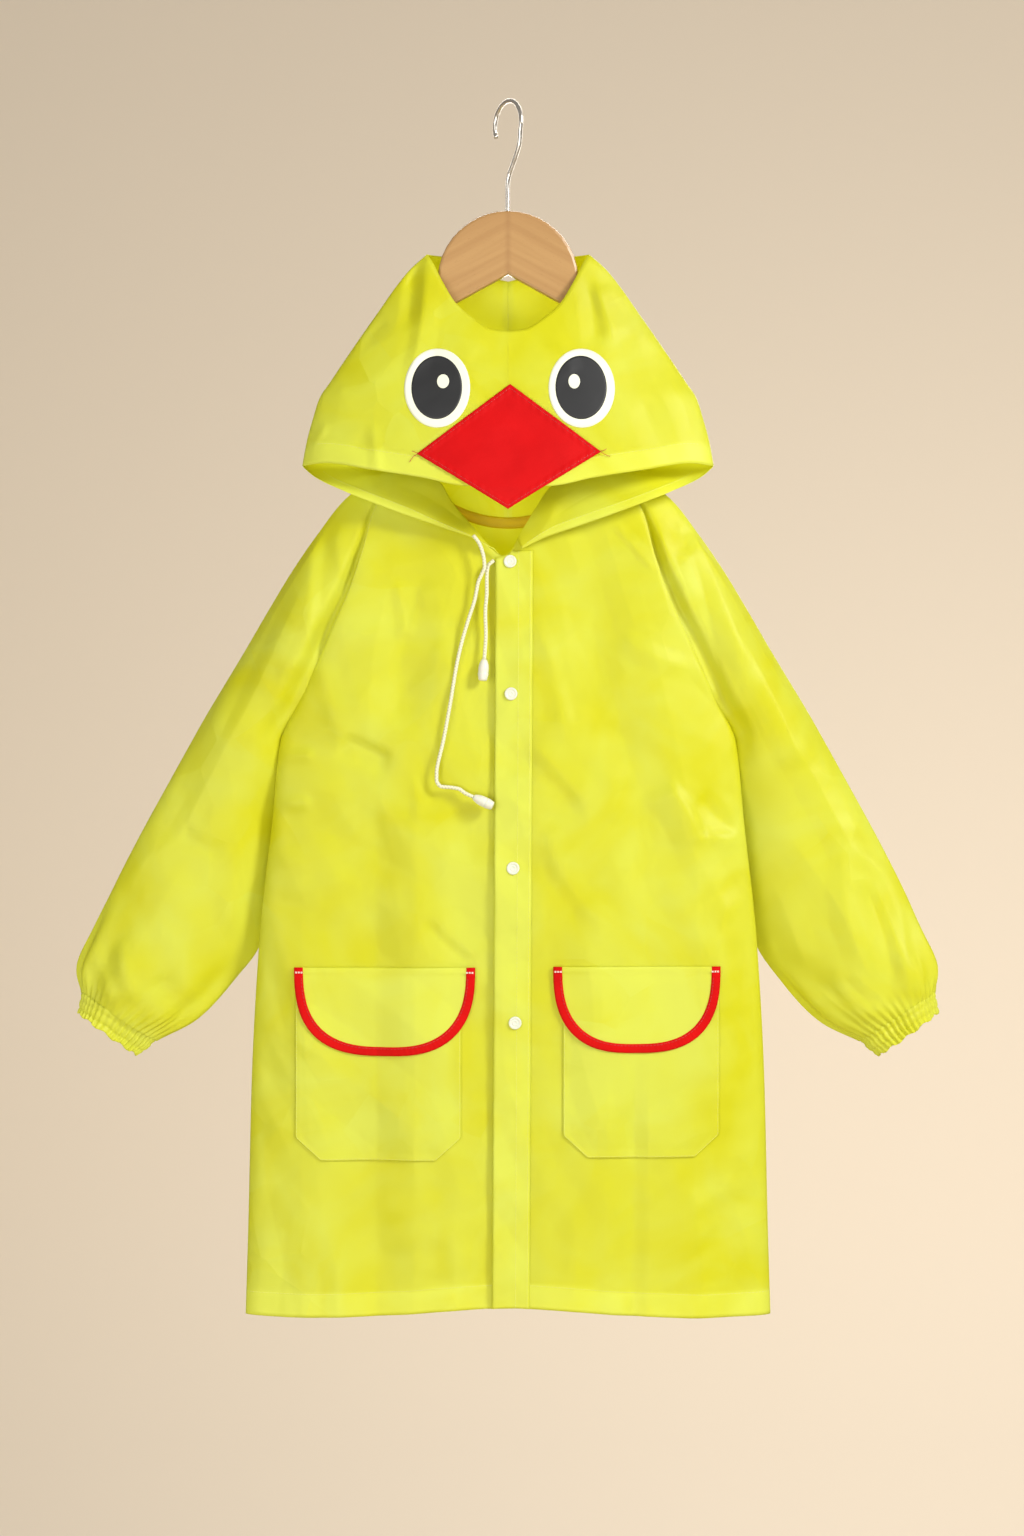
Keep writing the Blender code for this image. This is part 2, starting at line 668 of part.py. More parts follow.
# The profiles of a snap's cap and of a cord's end, from the top down, as shares of their radius and length.
SNAP_PROFILE = ((0, 1), (0.55, 0.95), (0.86, 0.7), (1, 0.3), (1, 0), (0, 0))
CORD_END_PROFILE = ((0, 1), (0.75, 1), (0.95, 0.937), (1, 0.72), (0.95, 0.3), (0.6, 0.1), (0.45, 0), (0, 0))

# The drawstring's two visible ends, from the hood's casing down, and how far each stands before the front.
CORD_LONG = table(
    "across before height",
    (-30.5, 11, -384.5),
    (-24, 10.5, -394),
    (-20.5, 9.5, -411),
    (-26, 6, -425),
    (-29, 4.5, -440),
    (-35, 4, -459),
    (-41, 4, -480),
    (-45, 4, -498),
    (-51, 4, -534),
    (-57, 4, -566),
    (-62, 4, -588),
    (-63, 4, -597),
    (-58.5, 4.5, -605),
    (-46, 5, -606),
    (-37, 5.5, -611),
    (-30.5, 6, -614),
)
CORD_SHORT = table(
    "across before height",
    (-12.7, 1.9, -406.3),
    (-16.2, 3.0, -408.5),
    (-18.6, 4.2, -416),
    (-18.6, 4, -434),
    (-19.9, 4, -452),
    (-19.4, 4, -471),
    (-20.8, 4, -493),
)
CORD_POINT_STEP = 7.5
CORD_END_LENGTH, CORD_END_DIAMETER = 19.0, 9.5

HANGER_HUMP_RADIUS = 62.5
HANGER_HUMP_HEIGHT = -158.4
HANGER_NOTCH_HEIGHT = -152.2
HANGER_SLOPE = 0.55
HANGER_TIP_RADIUS = 7.0
HANGER_TIP_ACROSS = 115.0
HANGER_SHOULDER_ACROSS = 62.0
HANGER_EDGE_ROUNDING = 2.5
STEM_HOLE_DEPTH = 18.0
STEM_CLEARANCE = SEAM_GAP + 0.1
# How high on its arc the hump starts above its lowest corner, and where the tip's arc starts, as an angle.
HANGER_HUMP_START = 4.0
HANGER_TIP_START = math.pi / 2 - 0.75
HANGER_HUMP_STEPS, HANGER_TIP_STEPS, HOOK_STEPS = 20, 8, 12
HOOK_ROUTE = table(
    "across forward height",
    (-0.4, 0, -111),
    (-0.4, 0, -96),
    (-0.4, 0, -74),
    (0.2, 0.6, -67),
    (4.0, 5.4, -56),
    (8.0, 11.0, -45),
    (10.4, 15.0, -35),
)
HOOK_START, HOOK_END = math.radians(-22), math.radians(205)


def material(name, colour, roughness, metallic=0.0):
    shader = bpy.data.materials.new(name)
    shader.use_nodes = True
    bsdf = shader.node_tree.nodes["Principled BSDF"]
    bsdf.inputs["Base Color"].default_value = (*colour, 1)
    bsdf.inputs["Roughness"].default_value = roughness
    bsdf.inputs["Metallic"].default_value = metallic
    return shader


def new_object(name, data, collection, look):
    obj = bpy.data.objects.new(name, data)
    collection.objects.link(obj)
    data.materials.append(material(name, *look))
    return obj


def add_grid(mesh, surface, columns, rows):
    """Adds a grid primitive whose points are moved onto the surface."""
    made = bmesh.ops.create_grid(mesh, x_segments=columns, y_segments=rows, size=0.5)
    for vertex in made["verts"]:
        u = round((vertex.co.x + 0.5) * columns) / columns
        v = round((vertex.co.y + 0.5) * rows) / rows
        vertex.co = Vector(surface(u, v)) * MM


def cloth(name, patches, collection, look, thickness=CLOTH):
    """One cloth piece, from one or more (surface, columns, rows) patches that share their edges."""
    mesh = bmesh.new()
    for surface, columns, rows in patches:
        add_grid(mesh, surface, columns, rows)
    bmesh.ops.remove_doubles(mesh, verts=mesh.verts, dist=1e-5)
    bmesh.ops.recalc_face_normals(mesh, faces=mesh.faces)
    data = bpy.data.meshes.new(name)
    mesh.to_mesh(data)
    mesh.free()
    data.shade_smooth()
    obj = new_object(name, data, collection, look)
    wall = obj.modifiers.new("wall", "SOLIDIFY")
    wall.thickness = thickness * MM
    wall.offset = 0
    return obj


def smooth_route(points, step):
    """Points at even steps along a smooth curve through the route's own points, all in millimetres."""
    points = np.array(points, float)
    lengths = np.concatenate([[0], np.cumsum(np.linalg.norm(np.diff(points, axis=0), axis=1))])
    count = max(int(round(lengths[-1] / step)), 2)
    along = np.linspace(0, lengths[-1], count + 1)
    rows = {"length": lengths, "x": points[:, 0], "y": points[:, 1], "z": points[:, 2]}
    return np.stack([read(rows, axis, along, "length") for axis in "xyz"], axis=1)


def tube(name, points, diameter, collection, look, resolution=2):
    curve = bpy.data.curves.new(name, "CURVE")
    curve.dimensions = "3D"
    curve.bevel_depth = diameter / 2 * MM
    curve.bevel_resolution = resolution
    curve.use_fill_caps = True
    spline = curve.splines.new("POLY")
    spline.points.add(len(points) - 1)
    for control, point in zip(spline.points, points):
        control.co = (*(Vector(point) * MM), 1)
    return new_object(name, curve, collection, look)


def turned(name, profile, collection, look, steps=12):
    """A turned piece about Z, from (radius, height) pairs running from its top down."""
    mesh = bpy.data.meshes.new(name)
    points = [(radius * MM, 0, height * MM) for radius, height in profile]
    mesh.from_pydata(points, [(i, i + 1) for i in range(len(points) - 1)], [])
    obj = new_object(name, mesh, collection, look)
    screw = obj.modifiers.new("turn", "SCREW")
    screw.steps = steps
    screw.render_steps = steps
    screw.use_merge_vertices = True
    screw.merge_threshold = 0.00001
    return obj


def place(obj, centre, direction):
    """Stands a turned piece at a point, with its +Z along a direction."""
    turn = Vector((0, 0, 1)).rotation_difference(Vector(direction))
    obj.matrix_world = Matrix.Translation(Vector(centre) * MM) @ turn.to_matrix().to_4x4()


def add_body(parts, look):
    cloth("front_right", [(front_surface(RIGHT), 16, 26)], parts, look)
    cloth("front_left", [(front_surface(LEFT), 16, 26)], parts, look)
    cloth("back", [(back_surface, 20, 20)], parts, look)
    cloth("placket", [(placket_surface, 3, 26)], parts, look)
    cloth("neck_band", [(neck_band_surface, 12, 1)], parts, look)


def add_sleeve(side, parts, look):
    for length, stations in SLEEVE_LENGTHS.items():
        patches = [(sleeve_surface(side, stations), SLEEVE_COLUMNS, len(stations) - 1)]
        cloth(f"sleeve_{length}_{SIDE_NAMES[side]}", patches, parts, look)
    cloth("cuff_" + SIDE_NAMES[side], [(cuff_surface(side), CUFF_GATHERS * 4, 2)], parts, look)


def add_hood_half(side, parts, look):
    columns = HOOD_FLAP_COLUMNS + HOOD_SIDE_COLUMNS + HOOD_CROWN_COLUMNS
    patches = [
        (hood_lower_surface(side), columns, HOOD_ROWS),
        (hood_front_surface(side), HOOD_FRONT_COLUMNS, HOOD_SIDE_COLUMNS),
    ]
    cloth("hood_" + SIDE_NAMES[side], patches, parts, look)


def add_pocket(side, parts, look, red):
    name = SIDE_NAMES[side]
    cloth("pocket_" + name, [(pocket_surface(side), 12, 8)], parts, look)
    cloth("flap_" + name, [(flap_surface(side), 16, 3)], parts, look)
    cloth("binding_" + name, [(binding_surface(side), 24, 1)], parts, red)


def add_snap(number, across, height, parts, look):
    profile = [(radius * SNAP_DIAMETER / 2, rise * SNAP_RISE) for radius, rise in SNAP_PROFILE]
    cap = turned(f"snap_{number}", profile, parts, look)
    step = SNAP_DIAMETER / 2
    slope_x = (front_y(across + step, height) - front_y(across - step, height)) / (2 * step)
    slope_z = (front_y(across, height + step) - front_y(across, height - step)) / (2 * step)
    out = Vector((slope_x, -1, slope_z)).normalized()
    y = front_y(across, height) - LAP
    place(cap, Vector((across, y, height)) + out * SNAP_STAND, out)


def cord_points(route):
    surface = plain_front_y(route["across"], route["height"])
    points = np.stack([route["across"], surface - route["before"], route["height"]], axis=1)
    return smooth_route(points, CORD_POINT_STEP)


def add_cord(name, route, parts, look):
    points = cord_points(route)
    tube("cord_" + name, points, CORD_DIAMETER, parts, look)
    last, direction = Vector(points[-1]), (Vector(points[-1]) - Vector(points[-2])).normalized()
    profile = [(radius * CORD_END_DIAMETER / 2, along * CORD_END_LENGTH) for radius, along in CORD_END_PROFILE]
    end = turned("cord_end_" + name, profile, parts, look)
    place(end, last + direction * SEAM_GAP, direction)


def hanger_outline():
    """The hanger's outline in the XZ plane: the hump's arc, a shoulder, the tip and the lower edges."""
    points = []
    radius = HANGER_HUMP_RADIUS
    hump_end = math.asin(HANGER_HUMP_START / radius)
    for i in range(HANGER_HUMP_STEPS + 1):
        angle = blend(math.pi - hump_end, hump_end, i / HANGER_HUMP_STEPS)
        points.append((radius * math.cos(angle), HANGER_HUMP_HEIGHT + radius * math.sin(angle)))
    along = math.atan(HANGER_SLOPE)
    low = HANGER_NOTCH_HEIGHT - HANGER_SLOPE * HANGER_TIP_ACROSS
    tip = (HANGER_TIP_ACROSS + HANGER_TIP_RADIUS * math.sin(along), low + HANGER_TIP_RADIUS * math.cos(along))
    steps = HANGER_TIP_STEPS
    arc = [blend(HANGER_TIP_START, -math.pi / 2 - along, i / steps) for i in range(steps + 1)]
    right = [(tip[0] + HANGER_TIP_RADIUS * math.cos(a), tip[1] + HANGER_TIP_RADIUS * math.sin(a)) for a in arc]
    points += right
    points.append((0.0, HANGER_NOTCH_HEIGHT))
    points += [(-x, z) for x, z in reversed(right)]
    return points


def add_hanger(parts, wood, steel):
    outline = hanger_outline()
    curve = bpy.data.curves.new("hanger_outline", "CURVE")
    curve.dimensions = "2D"
    curve.fill_mode = "BOTH"
    curve.extrude = (HANGER_THICKNESS / 2 - HANGER_EDGE_ROUNDING) * MM
    curve.bevel_depth = HANGER_EDGE_ROUNDING * MM
    curve.bevel_resolution = 1
    curve.offset = -HANGER_EDGE_ROUNDING * MM
    spline = curve.splines.new("POLY")
    spline.points.add(len(outline) - 1)
    spline.use_cyclic_u = True
    for control, (x, z) in zip(spline.points, outline):
        control.co = (x * MM, z * MM, 0, 1)
    flat = bpy.data.objects.new("hanger_outline", curve)
    flat.matrix_world = Matrix.Rotation(math.pi / 2, 4, "X")
    bpy.context.scene.collection.objects.link(flat)
    bpy.context.view_layer.update()
    mesh = bpy.data.meshes.new_from_object(flat.evaluated_get(bpy.context.evaluated_depsgraph_get()))
    mesh.transform(flat.matrix_world)
    bpy.data.objects.remove(flat)
    welded = bmesh.new()
    welded.from_mesh(mesh)
    bmesh.ops.remove_doubles(welded, verts=welded.verts, dist=1e-6)
    bmesh.ops.recalc_face_normals(welded, faces=welded.faces)
    welded.to_mesh(mesh)
    welded.free()
    body = new_object("hanger_body", mesh, parts, wood)
    cutters = bpy.data.collections.new("cutters")
    bpy.context.scene.collection.children.link(cutters)
    hole = bmesh.new()
    bore = WIRE_DIAMETER / 2 + STEM_CLEARANCE
    bmesh.ops.create_cone(
        hole, cap_ends=True, segments=12, radius1=bore * MM, radius2=bore * MM, depth=2 * STEM_HOLE_DEPTH * MM
    )
    hole_mesh = bpy.data.meshes.new("stem_hole")
    hole.to_mesh(hole_mesh)
    hole.free()
    cutter = bpy.data.objects.new("stem_hole", hole_mesh)
    hump_top = HANGER_HUMP_HEIGHT + HANGER_HUMP_RADIUS
    cutter.location = Vector((HOOK_ROUTE["across"][0], 0, hump_top)) * MM
    cutter.hide_render = True
    cutter.display_type = "WIRE"
    cutters.objects.link(cutter)
    cut = body.modifiers.new("stem hole", "BOOLEAN")
    cut.object = cutter
    route = HOOK_ROUTE
    stem = [(x, -forward, z) for x, forward, z in zip(route["across"], route["forward"], route["height"])]
    turn = Vector((math.sin(HOOK_TURN), -math.cos(HOOK_TURN), 0))
    crown = -HOOK_RADIUS + WIRE_DIAMETER / 2
    for i in range(HOOK_STEPS + 1):
        angle = blend(HOOK_START, HOOK_END, i / HOOK_STEPS)
        bend = turn * HOOK_RADIUS * math.cos(angle)
        stem.append((bend.x, bend.y, crown + HOOK_RADIUS * math.sin(angle)))
    tube("hanger_hook", smooth_route(stem, 6.0), WIRE_DIAMETER, parts, steel)


def main():
    for obj in list(bpy.data.objects):
        bpy.data.objects.remove(obj)
    parts = bpy.data.collections.new("hooded_raincoat")
    bpy.context.scene.collection.children.link(parts)
    yellow = ((0.76, 0.76, 0.06), 0.42)
    red = ((0.79, 0.015, 0.02), 0.5)
    white = ((0.85, 0.84, 0.72), 0.35)
    cord_white = ((0.80, 0.78, 0.62), 0.8)
    wood = ((0.64, 0.38, 0.13), 0.5)
    steel = ((0.62, 0.58, 0.54), 0.25, 1.0)
    add_body(parts, yellow)
    for side in (RIGHT, LEFT):
        add_sleeve(side, parts, yellow)
        add_hood_half(side, parts, yellow)
        add_pocket(side, parts, yellow, red)
    cloth("beak", [(beak_surface, 6, 6)], parts, red)
    for number, across, height in zip(SNAPS["number"], SNAPS["across"], SNAPS["height"]):
        add_snap(int(number), across, height, parts, white)
    add_cord("long", CORD_LONG, parts, cord_white)
    add_cord("short", CORD_SHORT, parts, cord_white)
    add_hanger(parts, wood, steel)


main()
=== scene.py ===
"""Dresses a child's hooded raincoat that hangs by its hood on a wooden hanger.

The sizes below are in millimetres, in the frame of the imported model: +Z up, the coat facing -Y, and left and
right the wearer's. Every cloth piece is a grid bent over a surface function of two parameters, u and v.
"""

import math
from functools import partial

import bmesh
import bpy
import numpy as np
from bpy.props import FloatProperty, FloatVectorProperty, PointerProperty
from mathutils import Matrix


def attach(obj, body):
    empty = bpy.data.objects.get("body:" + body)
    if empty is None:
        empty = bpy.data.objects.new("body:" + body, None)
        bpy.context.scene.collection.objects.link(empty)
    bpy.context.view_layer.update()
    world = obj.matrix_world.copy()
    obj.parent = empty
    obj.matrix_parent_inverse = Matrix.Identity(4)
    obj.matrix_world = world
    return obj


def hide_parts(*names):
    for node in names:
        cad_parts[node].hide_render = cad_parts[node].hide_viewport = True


bl_info = {
    "name": "Hooded Raincoat",
    "version": (1, 0, 0),
    "blender": (4, 5, 0),
    "location": "View3D > Sidebar > Raincoat",
    "description": "Dresses a child's hooded raincoat on its hanger",
    "category": "Add Mesh",
}

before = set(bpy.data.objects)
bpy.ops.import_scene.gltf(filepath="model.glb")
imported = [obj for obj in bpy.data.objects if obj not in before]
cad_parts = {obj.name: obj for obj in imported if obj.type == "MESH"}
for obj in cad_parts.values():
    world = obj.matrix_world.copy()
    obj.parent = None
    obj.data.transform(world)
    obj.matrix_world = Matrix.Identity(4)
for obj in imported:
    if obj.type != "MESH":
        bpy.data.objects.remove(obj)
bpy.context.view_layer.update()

MM = 0.001
RIGHT, LEFT = -1, 1
SIDE_NAMES = {RIGHT: "right", LEFT: "left"}


def srgb(code):
    """A hex colour as linear red, green, blue: each part over 12.92, or ((part + 0.055) / 1.055) to the 2.4."""
    parts = [int(code[i : i + 2], 16) / 255 for i in (0, 2, 4)]
    return [p / 12.92 if p <= 0.04045 else ((p + 0.055) / 1.055) ** 2.4 for p in parts]


# Tables


def table(names, *rows):
    """A table of rows as named columns; its first column is the key that the others are read by."""
    return dict(zip(names.split(), np.array(rows, float).T))


def read(rows, column, at):
    """A smooth curve through a table's column that never overshoots it, at any array of its key's values."""
    keys, values = next(iter(rows.values())), rows[column]
    if keys[0] > keys[-1]:
        keys, values = keys[::-1], values[::-1]
    at = np.clip(at, keys[0], keys[-1])
    rises = np.diff(values) / np.diff(keys)
    product = rises[:-1] * rises[1:]
    between = np.where(product > 0, 2 * product / np.where(product > 0, rises[:-1] + rises[1:], 1), 0)
    slopes = np.concatenate([rises[:1], between, rises[-1:]])
    i = np.clip(np.searchsorted(keys, at) - 1, 0, len(keys) - 2)
    step = keys[i + 1] - keys[i]
    t = (at - keys[i]) / step
    start = values[i] + step * slopes[i] * t * (1 - t) ** 2 + (values[i + 1] - values[i]) * t * t * (3 - 2 * t)
    return start - step * slopes[i + 1] * t * t * (1 - t)


def read_all(rows, at):
    """All the columns of a table but its key, in their order."""
    return [read(rows, name, at) for name in list(rows)[1:]]


def blend(a, b, share):
    """The value the given share of the way from a to b."""
    return a + (b - a) * share


def smooth(share):
    """Zero below 0, one above 1, and 3s^2 - 2s^3 between."""
    share = np.clip(share, 0, 1)
    return share * share * (3 - 2 * share)


def vec(x, y, z):
    """Points from arrays of their coordinates, or from plain numbers."""
    return np.stack(np.broadcast_arrays(np.asarray(x, float), y, z), axis=-1)


def mix(a, b, share):
    """A point the given share of the way from one to another, for arrays of points."""
    return a + (b - a) * np.asarray(share)[..., None]


def settings_value(name):
    """One of the settings that a user can change, by its name."""
    return getattr(bpy.context.scene.raincoat, name)


BODY = table(
    "height half_width front front_edge back back_edge",
    (-320, 88, 13, 9, 24, 8), (-359, 117, 17, 13, 31, 12), (-400, 129, 20, 16, 33, 14), (-435, 141, 22, 16, 33, 13),
    (-470, 157, 24, 14, 32, 12), (-499, 170, 26, 11, 31, 10), (-530, 184.5, 27, 7, 30, 6),
    (-566, 201.5, 28, 0.35, 29, 0.35), (-635, 208.5, 29, 0.35, 28, 0.35), (-740, 219.8, 30, 0.35, 27, 0.35),
    (-863, 226.6, 31, 0.35, 26, 0.35), (-986, 229.5, 32, 0.35, 26, 0.35), (-1073, 232, 33, 0.35, 26, 0.35),
)
OUTER_EDGE = table(
    "level half_width height",
    (0, 92, -327), (0.06, 117, -359), (0.13, 129, -400), (0.19, 141, -435), (0.24, 157, -470), (0.28, 170, -499),
    (0.32, 184.5, -530), (0.36, 201.5, -566), (0.44, 208.5, -635), (0.58, 219.8, -740), (0.74, 226.6, -863),
    (0.89, 229.5, -986), (1.00, 232, -1071),
)
NECK_FRONT = {
    RIGHT: table(
        "across height",
        (-34, -406), (-5, -404), (7, -401), (33, -374), (51, -352), (59, -338), (72, -331), (92, -327),
    ),
    LEFT: table(
        "across height",
        (-13, -404), (0, -400), (11, -382), (25, -359), (38, -341), (60, -332), (92, -327),
    ),
}
NECK_BACK_DIP, NECK_BACK_HEIGHT = 43.0, -327.0
HEM = table("across height", (0, -1062), (50, -1065), (100, -1069), (180, -1072), (232, -1071))
FRONT_INNER_EDGE = {RIGHT: (-24.0, -31.0), LEFT: (-11.0, -14.0)}
# Where the right front starts to dip under the left one, by how much, and over what distance.
UNDERLAP_START, UNDERLAP_DEPTH, UNDERLAP_RUN = -14.0, 3.4, 50.0
# Left of here the front's folds are the right front's.
FOLDS_MEET = -12
PLACKET_WIDTH, PLACKET_TOP = 33.0, -396.5
# Where across the placket its two seams run.
PLACKET_SEAMS = (0.62, 0.93)
# How thick one layer of cloth counts in a pile, and the air between two pieces.
LAYER, CLEARANCE = 0.8, 0.3
ARMPIT = -566.0
# The bands where an edge is turned in: how deep they are, how far they stand out, and how softly they start.
HEM_DEPTH, RIM_DEPTH = 22.0, 19.0
BAND_RISE, BAND_START = 0.5, 1.6

# Creases, each a chord from its start to its end, seen from the front: how far it bows sideways, how far it
# rises from the cloth, and how wide it is on its left and on its right, going from the start to the end.
CREASE = "start_x start_z end_x end_z bow rise left right"
CREASE_SOFTNESS, CREASE_FADE = 0.08, 0.22
FRONT_CREASES = {
    RIGHT: table(
        CREASE,
        (-66, -392, -96, -570, -10, -4.2, 26, 30), (-115, -520, -115, -1180, 0, -5.4, 66, 33),
        (-150, -562, -100, -583, 2, -3.8, 22, 7), (-166, -490, -140, -572, -4, 1.9, 12, 16),
        (-214, -581, -168, -578, 2, 2.7, 8, 7), (-216, -625, -170, -620, 2, 2.9, 9, 8),
        (-74, -720, -30, -762, -3, -3.8, 16, 8), (-100, -420, -92, -480, 3, 2.2, 8, 14),
        (-84, -596, -80, -640, 2, 1.6, 6, 12), (-176, -690, -130, -742, -5, 1.4, 14, 24),
        (-60, -650, -58, -760, 4, 1.6, 14, 14), (-200, -745, -178, -850, 6, 1.9, 18, 26),
        (-190, -960, -206, -1180, -4, -1.9, 20, 26), (-46, -930, -56, -1180, 3, 1.9, 16, 20),
        (-150, -1010, -158, -1180, 3, 1.6, 14, 14),
    ),
    LEFT: table(
        CREASE,
        (111, -820, 111, -1180, 0, -3.0, 24, 12), (20, -452, 48, -566, 6, 2.6, 14, 12),
        (16, -566, 74, -632, 5, 3.2, 12, 18), (30, -636, 84, -728, -8, 2.7, 12, 16),
        (138, -600, 172, -656, 3, 4.2, 26, 8), (158, -652, 214, -650, 2, 2.2, 12, 5),
        (166, -610, 206, -646, -4, -3.5, 12, 14), (96, -470, 164, -500, -6, 2.2, 14, 12),
        (160, -490, 212, -566, 6, 2.1, 14, 14), (92, -372, 130, -416, 0, 1.4, 5, 9),
        (60, -410, 78, -560, 8, -2.2, 24, 22), (88, -540, 132, -700, 10, -2.4, 24, 30),
        (196, -690, 186, -820, -6, 2.2, 18, 22), (60, -700, 74, -860, 6, 1.6, 18, 24),
        (160, -940, 176, -1180, 4, 1.9, 22, 18), (58, -950, 66, -1180, -3, 1.9, 16, 20),
    ),
}
BACK_CREASES = table(
    CREASE,
    (-96, -420, -112, -1180, -6, -3.2, 40, 26), (104, -560, 108, -1180, 4, -2.6, 24, 44),
    (8, -380, 2, -700, 3, 1.6, 16, 16), (-60, -372, -22, -470, 6, -1.8, 18, 14),
    (66, -372, 30, -480, -6, -1.6, 14, 18), (-212, -586, -160, -570, 3, 1.7, 9, 7),
    (214, -600, 158, -586, -3, 1.8, 8, 9), (-206, -640, -150, -668, 3, 1.4, 10, 14),
    (210, -664, 140, -700, -4, 1.6, 12, 12), (-150, -470, -80, -560, 8, 1.4, 18, 14),
    (156, -480, 92, -590, -8, 1.3, 16, 20), (-30, -720, -40, -1180, 4, 1.5, 24, 20),
    (48, -800, 44, -1180, -3, 1.4, 20, 26), (-180, -820, -190, -1180, 3, 1.2, 20, 22),
    (176, -860, 184, -1180, -4, 1.3, 18, 22),
)
# Long soft swells that run over a whole panel.
SWELLS = table("height across down phase", (0.7, 143, 620, 0.4), (0.45, 88, -900, 2.1), (0.35, 61, 340, 4.0))
# Handling folds, by height, wave length, heading in degrees, sideways bend and phase.
HANDLING = table(
    "height length heading bend phase",
    (1.5, 88, 8, 9, 0.3), (1.25, 71, 62, 12, 1.7), (1.05, 57, -38, 8, 3.1), (0.55, 34, 24, 5, 4.4),
    (0.42, 27, -71, 5, 0.9),
)


def creases(rows, x, z):
    """The sum of soft folds: each is a tent over its chord, rounded by 3s^2 - 2s^3, that fades in at both ends."""
    total = np.zeros(np.broadcast(x, z).shape)
    for start_x, start_z, end_x, end_z, bow, rise, left, right in zip(*rows.values()):
        run_x, run_z = end_x - start_x, end_z - start_z
        length = math.hypot(run_x, run_z)
        along = ((x - start_x) * run_x + (z - start_z) * run_z) / length**2
        aside = ((z - start_z) * run_x - (x - start_x) * run_z) / length - 4 * bow * along * (1 - along)
        near = np.clip(1 - np.abs(aside) / np.where(aside < 0, left, right), 0, 1)
        ends = smooth(along / CREASE_FADE) * smooth((1 - along) / CREASE_FADE)
        total += rise * ends * blend(near, smooth(near), CREASE_SOFTNESS)
    return total * settings_value("crease_strength")


def swells(x, z):
    """The sum of a * sin(2 pi (x / across + z / down) + phase), and of straight-sided handling folds: triangle
    waves in several directions, each bent a little by the others and strong in some places only."""
    total = sum(h * np.sin(2 * math.pi * (x / a + z / d) + p) for h, a, d, p in zip(*SWELLS.values()))
    for height, length, heading, bend, phase in zip(*HANDLING.values()):
        turn = math.radians(heading)
        along, across = x * math.cos(turn) + z * math.sin(turn), z * math.cos(turn) - x * math.sin(turn)
        cycle = (along + bend * np.sin(across / (0.9 * length) + phase)) / length + phase
        places = np.sin(across / (1.4 * length) + 2.3 * phase) * np.cos(along / (2.1 * length) - phase)
        total += height * smooth(0.5 + 0.8 * places) * (4 * np.abs(cycle - np.floor(cycle) - 0.5) - 1)
    return total * settings_value("crease_strength")


# The body


def body_share(x, z):
    """How far across the body a point is: nothing in its middle and one at its side folds."""
    return np.clip(np.abs(x) / read(BODY, "half_width", z), 0, 1)


def body_depth(x, z, face):
    """Edge depth + (middle depth - edge depth) * (1 - |x / half width|^2.6)^(1 / 2.2)."""
    edge = read(BODY, face + "_edge", z)
    return edge + (read(BODY, face, z) - edge) * (1 - body_share(x, z) ** 2.6) ** (1 / 2.2)


def towards_edge(x, z):
    """One over most of the body, and nothing at its side folds, so that both sides' edges still meet."""
    return 1 - smooth((body_share(x, z) - 0.9) / 0.1) * smooth((ARMPIT + 20 - z) / 40)


def front_y(x, z):
    """The front's surface: its depth before the hanger, with its creases."""
    folds = np.where(x < FOLDS_MEET, creases(FRONT_CREASES[RIGHT], x, z), creases(FRONT_CREASES[LEFT], x, z))
    return -body_depth(x, z, "front") - (folds + swells(x, z)) * towards_edge(x, z)


def panel_y(side, x, z):
    """The surface of one front: the right one runs on under the left one."""
    under = UNDERLAP_DEPTH * smooth(1 + (x - UNDERLAP_START) / UNDERLAP_RUN) if side == RIGHT else 0
    return front_y(x, z) + under


def layer_y(side, x, z, layers):
    """The surface of a piece that lies on a front, so many layers up."""
    return panel_y(side, x, z) - LAYER * layers - CLEARANCE


def back_y(x, z):
    """The back's surface: its depth behind the hanger, with its creases."""
    return body_depth(x, z, "back") + (creases(BACK_CREASES, x, z) + swells(-x, z)) * towards_edge(x, z)


def hem_height(x):
    """The hem's height, the same on both sides."""
    return read(HEM, "height", np.abs(x))


def hem_band(x, z):
    """One where the hem is turned up, and nothing above its stitching."""
    return smooth((hem_height(x) + HEM_DEPTH - z) / BAND_START)


def front_surface(side, u, v):
    """A ruled panel between the placket's edge and the outer edge, stretched to the neck's and the hem's curves."""
    (inner_top, inner_bottom), neck = FRONT_INNER_EDGE[side], NECK_FRONT[side]
    share = 1 - (1 - u) ** 1.7
    width, height = read_all(OUTER_EDGE, v)
    across = blend(blend(inner_top, inner_bottom, v), width, share)
    top_across = blend(inner_top, OUTER_EDGE["half_width"][0], share)
    level_row = blend(blend(neck["height"][0], HEM["height"][0], v), height, smooth(share))
    top_row = blend(neck["height"][0], OUTER_EDGE["height"][0], smooth(share))
    to_neck = read(neck, "height", top_across) - top_row
    to_hem = hem_height(across) - blend(HEM["height"][0], HEM["height"][-1], smooth(share))
    z = level_row + to_neck * (1 - v) ** 6 + to_hem * v**6
    x = side * across
    return vec(x, panel_y(side, x, z) - BAND_RISE * hem_band(x, z), z)


def back_surface(u, v):
    """The back: across from side to side, and down from the neck's dip to the level hem."""
    along = 2 * u - 1
    share = np.sign(along) * (1 - (1 - np.abs(along)) ** 1.6)
    width, height = read_all(OUTER_EDGE, v)
    x = share * width
    z = height - NECK_BACK_DIP * (1 - share * share) * (1 - v) ** 3
    return vec(x, back_y(x, z) + BAND_RISE * hem_band(x, z), z)


def neck_back(side, share):
    """The back's neck edge, from the raglan corner at 0 to the middle at 1."""
    x = side * (OUTER_EDGE["half_width"][0] * (1 - share))
    z = NECK_BACK_HEIGHT - NECK_BACK_DIP * (1 - (1 - share) ** 2)
    return vec(x, body_depth(x, z, "back"), z)


